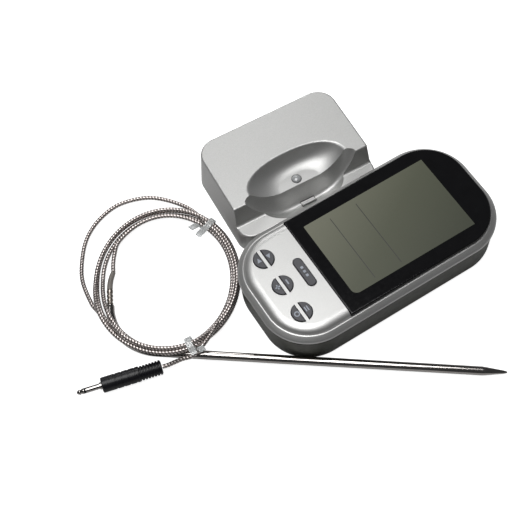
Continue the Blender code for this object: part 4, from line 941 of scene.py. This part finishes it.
def cord_route():
    """The cord from the probe's sleeve, round the coil and its outer loop, to the plug."""
    route = [Vector(point) for point in START_ROUTE]
    degrees = COIL_START
    while degrees > COIL_LEAVES - COIL_TURNS * 360:
        route.append(strand_point(degrees, (COIL_START - degrees) / 360))
        degrees -= COIL_STEP
    route += [Vector(point) for point in OUTER_LOOP_ROUTE]
    degrees = COIL_REJOINS
    while degrees > COIL_ENDS:
        route.append(strand_point(degrees, COIL_TURNS))
        degrees -= COIL_STEP
    route += [Vector(point) for point in TAIL_LEAVES + TAIL_ROUTE]
    return route


def evenly(points, gap):
    """Points along a polyline at even distances."""
    line = np.array([tuple(point) for point in points])
    steps = np.linalg.norm(np.diff(line, axis=0), axis=1)
    reach = np.concatenate([[0.0], np.cumsum(steps)])
    spots = np.linspace(0.0, reach[-1], int(reach[-1] / gap) + 1)
    return np.stack([np.interp(spots, reach, line[:, i]) for i in range(3)], axis=1), spots


WEAVE_AROUND = 2
WEAVE_LENGTH = 1.5
WEAVE_DEPTH = 0.17
CORD_SIDES = 24
CORD_STEP = 0.3


def make_cord():
    """A woven tube: two crossing sets of wires, worked out from a formula, along the route."""
    points, spots = evenly(smooth(cord_route(), 10), CORD_STEP)
    ahead = np.gradient(points, axis=0)
    ahead /= np.linalg.norm(ahead, axis=1)[:, None]
    side = np.cross(ahead, (0.0, 0.0, 1.0))
    side /= np.linalg.norm(side, axis=1)[:, None]
    up = np.cross(side, ahead)
    around = np.arange(CORD_SIDES) * math.tau / CORD_SIDES
    wave = math.tau * spots / WEAVE_LENGTH
    first = np.cos(WEAVE_AROUND * around[None, :] + wave[:, None])
    second = np.cos(WEAVE_AROUND * around[None, :] - wave[:, None])
    weave = 0.5 + 0.36 * first + 0.14 * second
    radius = CORD_DIAMETER / 2 - WEAVE_DEPTH * (1 - weave)
    rays = side[:, None, :] * np.cos(around)[None, :, None] + up[:, None, :] * np.sin(around)[None, :, None]
    verts = (points[:, None, :] + rays * radius[:, :, None]).reshape(-1, 3)
    rows = np.arange(len(points) - 1)[:, None] * CORD_SIDES
    here = np.arange(CORD_SIDES)[None, :]
    there = (here + 1) % CORD_SIDES
    faces = np.stack([rows + here, rows + there, rows + there + CORD_SIDES, rows + here + CORD_SIDES], axis=2)
    mesh = bpy.data.meshes.new("cord")
    ends = [list(range(CORD_SIDES))[::-1], list(range(len(verts) - CORD_SIDES, len(verts)))]
    mesh.from_pydata(verts.tolist(), [], faces.reshape(-1, 4).tolist() + ends)
    # The weave value is also stored for the braid material, which paints shade in the hollows and highlight
    # on the crowns from it.
    shade = mesh.attributes.new("weave", "FLOAT", "POINT")
    shade.data.foreach_set("value", weave.reshape(-1).astype(np.float32))
    cord = link("cord", mesh)
    nodes = ["cable_coil", "cable_outer_loop", "cable_tail"]
    finish(cord, "cord", braid, LEAD, "probe_lead", nodes, 60, False)
    centreline = [LEAD @ Vector(point) for point in points[::5]] + [LEAD @ Vector(points[-1])]
    length = float(spots[-1]) * MM
    return cord, centreline, length


TIE_WIDTH, TIE_THICK, TIE_WRAP = 3.0, 0.42, 285.0


def make_tie(name, node, degrees, ends_outward, end_length):
    """A clear strip wound around the coil, with both free ends on one side."""
    centre = coil_point(degrees)
    tangent = (coil_point(degrees + 1) - coil_point(degrees - 1)).normalized()
    tangent.z = 0
    tangent.normalize()
    outward = Vector((tangent.y, -tangent.x, 0))
    side = outward if ends_outward else -outward
    up = Vector((0, 0, 1))
    radius = 3.3
    pitch = TIE_WIDTH + 0.6
    lane = centre - tangent * pitch / 2
    frames = []
    for i in range(8):
        reach = end_length * (1 - i / 8)
        wave = 0.18 * math.sin(i * 0.9)
        frames.append((lane + side * reach + up * (radius + wave), up))
    steps = 44
    for i in range(steps + 1):
        share = i / steps
        angle = math.radians(TIE_WRAP) * share
        normal = up * math.cos(angle) - side * math.sin(angle)
        frames.append((lane + tangent * pitch * share + normal * radius, normal))
    leave = frames[-1][0]
    for i, (across, rise) in enumerate(((0.1, 0.25), (0.35, 0.6), (0.75, 0.85), (1.0, 1.0))):
        lean = math.radians(80 - 15 * i)
        spot = leave + (side * across * 0.7 + up * rise * 0.7) * end_length
        frames.append((spot, side * math.sin(lean) - up * math.cos(lean)))
    rings = []
    for spot, normal in frames:
        deep = normal.normalized() * TIE_THICK / 2
        ring = []
        for share, thick in ((-0.5, 0.5), (-0.42, 1.0), (0.42, 1.0), (0.5, 0.5)):
            ring.append(spot + tangent * TIE_WIDTH * share + deep * thick)
        for share, thick in ((0.5, 0.5), (0.42, 1.0), (-0.42, 1.0), (-0.5, 0.5)):
            ring.append(spot + tangent * TIE_WIDTH * share - deep * thick)
        rings.append(ring)
    return finish(loft(rings), name, clear, LEAD, "probe_lead", [node], 50)


PLUG_REAR = (-4.4, -43.6, 3.5)
PLUG_HEADING = math.radians(193.0)
PLUG_LENGTH, PLUG_RADIUS = 27.5, 3.5
PIN_RADIUS, PIN_LENGTH = 1.25, 11.3


def make_plug():
    heading = Vector((math.cos(PLUG_HEADING), math.sin(PLUG_HEADING), 0))
    rear = Vector(PLUG_REAR)
    profile = [(0.0, 1.3), (0.0, 2.5), (0.15, 2.8)]
    at = 0.3
    for _ in range(7):
        profile += [(at, 3.15), (at + 0.15, 3.3), (at + 0.75, 3.34)]
        profile += [(at + 0.9, 3.2), (at + 1.0, 2.85), (at + 1.3, 2.85)]
        at += 1.4
    profile += [(at, 3.3), (at + 0.4, PLUG_RADIUS)]
    for i in range(4):
        start = at + 1.6 + 3.0 * i
        profile += [(start, PLUG_RADIUS), (start + 0.1, 3.3)]
        profile += [(start + 0.55, 3.3), (start + 0.65, PLUG_RADIUS)]
    profile += [(PLUG_LENGTH - 0.5, PLUG_RADIUS), (PLUG_LENGTH - 0.15, 3.35)]
    profile += [(PLUG_LENGTH, 3.0), (PLUG_LENGTH, 1.4)]
    body = turned(profile, rear, heading, 56)
    finish(body, "plug_grip", black, LEAD, "probe_lead", ["plug_body"])
    start = rear + heading * (PLUG_LENGTH + 0.1)
    sleeve_length = PIN_LENGTH - 4.2
    barrel = [(0, 1.5), (0, 1.62), (0.85, 1.62), (0.95, PIN_RADIUS), (sleeve_length, PIN_RADIUS)]
    pin = turned(barrel, start, heading)
    finish(pin, "plug_barrel", polished, LEAD, "probe_lead", ["plug_sleeve"])
    ring = turned([(0, 1.22), (0.9, 1.22)], start + heading * (sleeve_length + 0.01), heading)
    finish(ring, "plug_ring", black, LEAD, "probe_lead", ["plug_insulator"])
    tip = [
        (0, PIN_RADIUS), (0.7, PIN_RADIUS), (1.0, 1.05), (1.25, 0.9), (1.5, 1.05), (1.8, 1.22),
        (2.1, 1.2), (2.6, 0.95), (3.1, 0.55), (3.3, 0.15),
    ]
    end = turned(tip, start + heading * (sleeve_length + 0.92), heading)
    finish(end, "plug_end", polished, LEAD, "probe_lead", ["plug_tip"])
    return [body, pin, ring, end]


def make_lead():
    make_probe()
    cord, centreline, length = make_cord()
    ties = [
        make_tie("tie_strip_back", "tie_back", 50.0, False, 9.0),
        make_tie("tie_strip_front", "tie_front", 289.0, True, 6.5),
    ]
    plug = make_plug()


# ---------------------------------------------------------------- floor and lights
FLOOR_BOUNCE = 0.62


def make_floor():
    """A white sheet in view; reflections and bounced light see it as the darker room around it."""
    mesh = bpy.data.meshes.new("floor")
    size = 3.0
    corners = [(-size, -size, 0), (size, -size, 0), (size, size, 0), (-size, size, 0)]
    mesh.from_pydata(corners, [], [(0, 1, 2, 3)])
    floor = link("floor", mesh)
    look = surface("floor", (FLOOR_BOUNCE, FLOOR_BOUNCE, FLOOR_BOUNCE), 0.9)
    nodes, links, shader = parts_of(look)
    path = nodes.new("ShaderNodeLightPath")
    glow = nodes.new("ShaderNodeEmission")
    glow.inputs["Strength"].default_value = 0.9
    both = nodes.new("ShaderNodeAddShader")
    choose = nodes.new("ShaderNodeMixShader")
    links.new(shader.outputs["BSDF"], both.inputs[0])
    links.new(glow.outputs["Emission"], both.inputs[1])
    links.new(path.outputs["Is Camera Ray"], choose.inputs["Fac"])
    links.new(shader.outputs["BSDF"], choose.inputs[1])
    links.new(both.outputs["Shader"], choose.inputs[2])
    links.new(choose.outputs["Shader"], nodes["Material Output"].inputs["Surface"])
    floor.data.materials.append(look)
    floor.location.z = -0.0002


def make_area(name, at, aim, size, energy):
    data = bpy.data.lights.new(name, "AREA")
    data.shape = "RECTANGLE"
    data.size, data.size_y = size
    data.energy = energy
    lamp = bpy.data.objects.new(name, data)
    bpy.context.scene.collection.objects.link(lamp)
    lamp.location = at
    lamp.rotation_mode = "QUATERNION"
    lamp.rotation_quaternion = (Vector(aim) - Vector(at)).to_track_quat("-Z", "Y")


def make_light():
    world = bpy.data.worlds.new("studio")
    world.use_nodes = True
    back = world.node_tree.nodes["Background"]
    back.inputs["Color"].default_value = (0.95, 0.97, 1.0, 1.0)
    back.inputs["Strength"].default_value = 0.07
    bpy.context.scene.world = world
    make_area("key", (-0.10, 0.04, 1.0), (-0.03, -0.03, 0.0), (0.75, 0.55), 8.6)
    make_area("back", (0.25, 0.75, 0.55), (0.0, 0.0, 0.0), (0.5, 0.3), 2.2)
    bpy.context.scene.view_settings.view_transform = "Standard"


make_camera()
dress_cad_nodes()
make_front_casing()
make_lens()
make_keys()
make_back_casing()
make_dock()
make_lamp()
make_catch()
make_lead()
make_floor()
make_light()
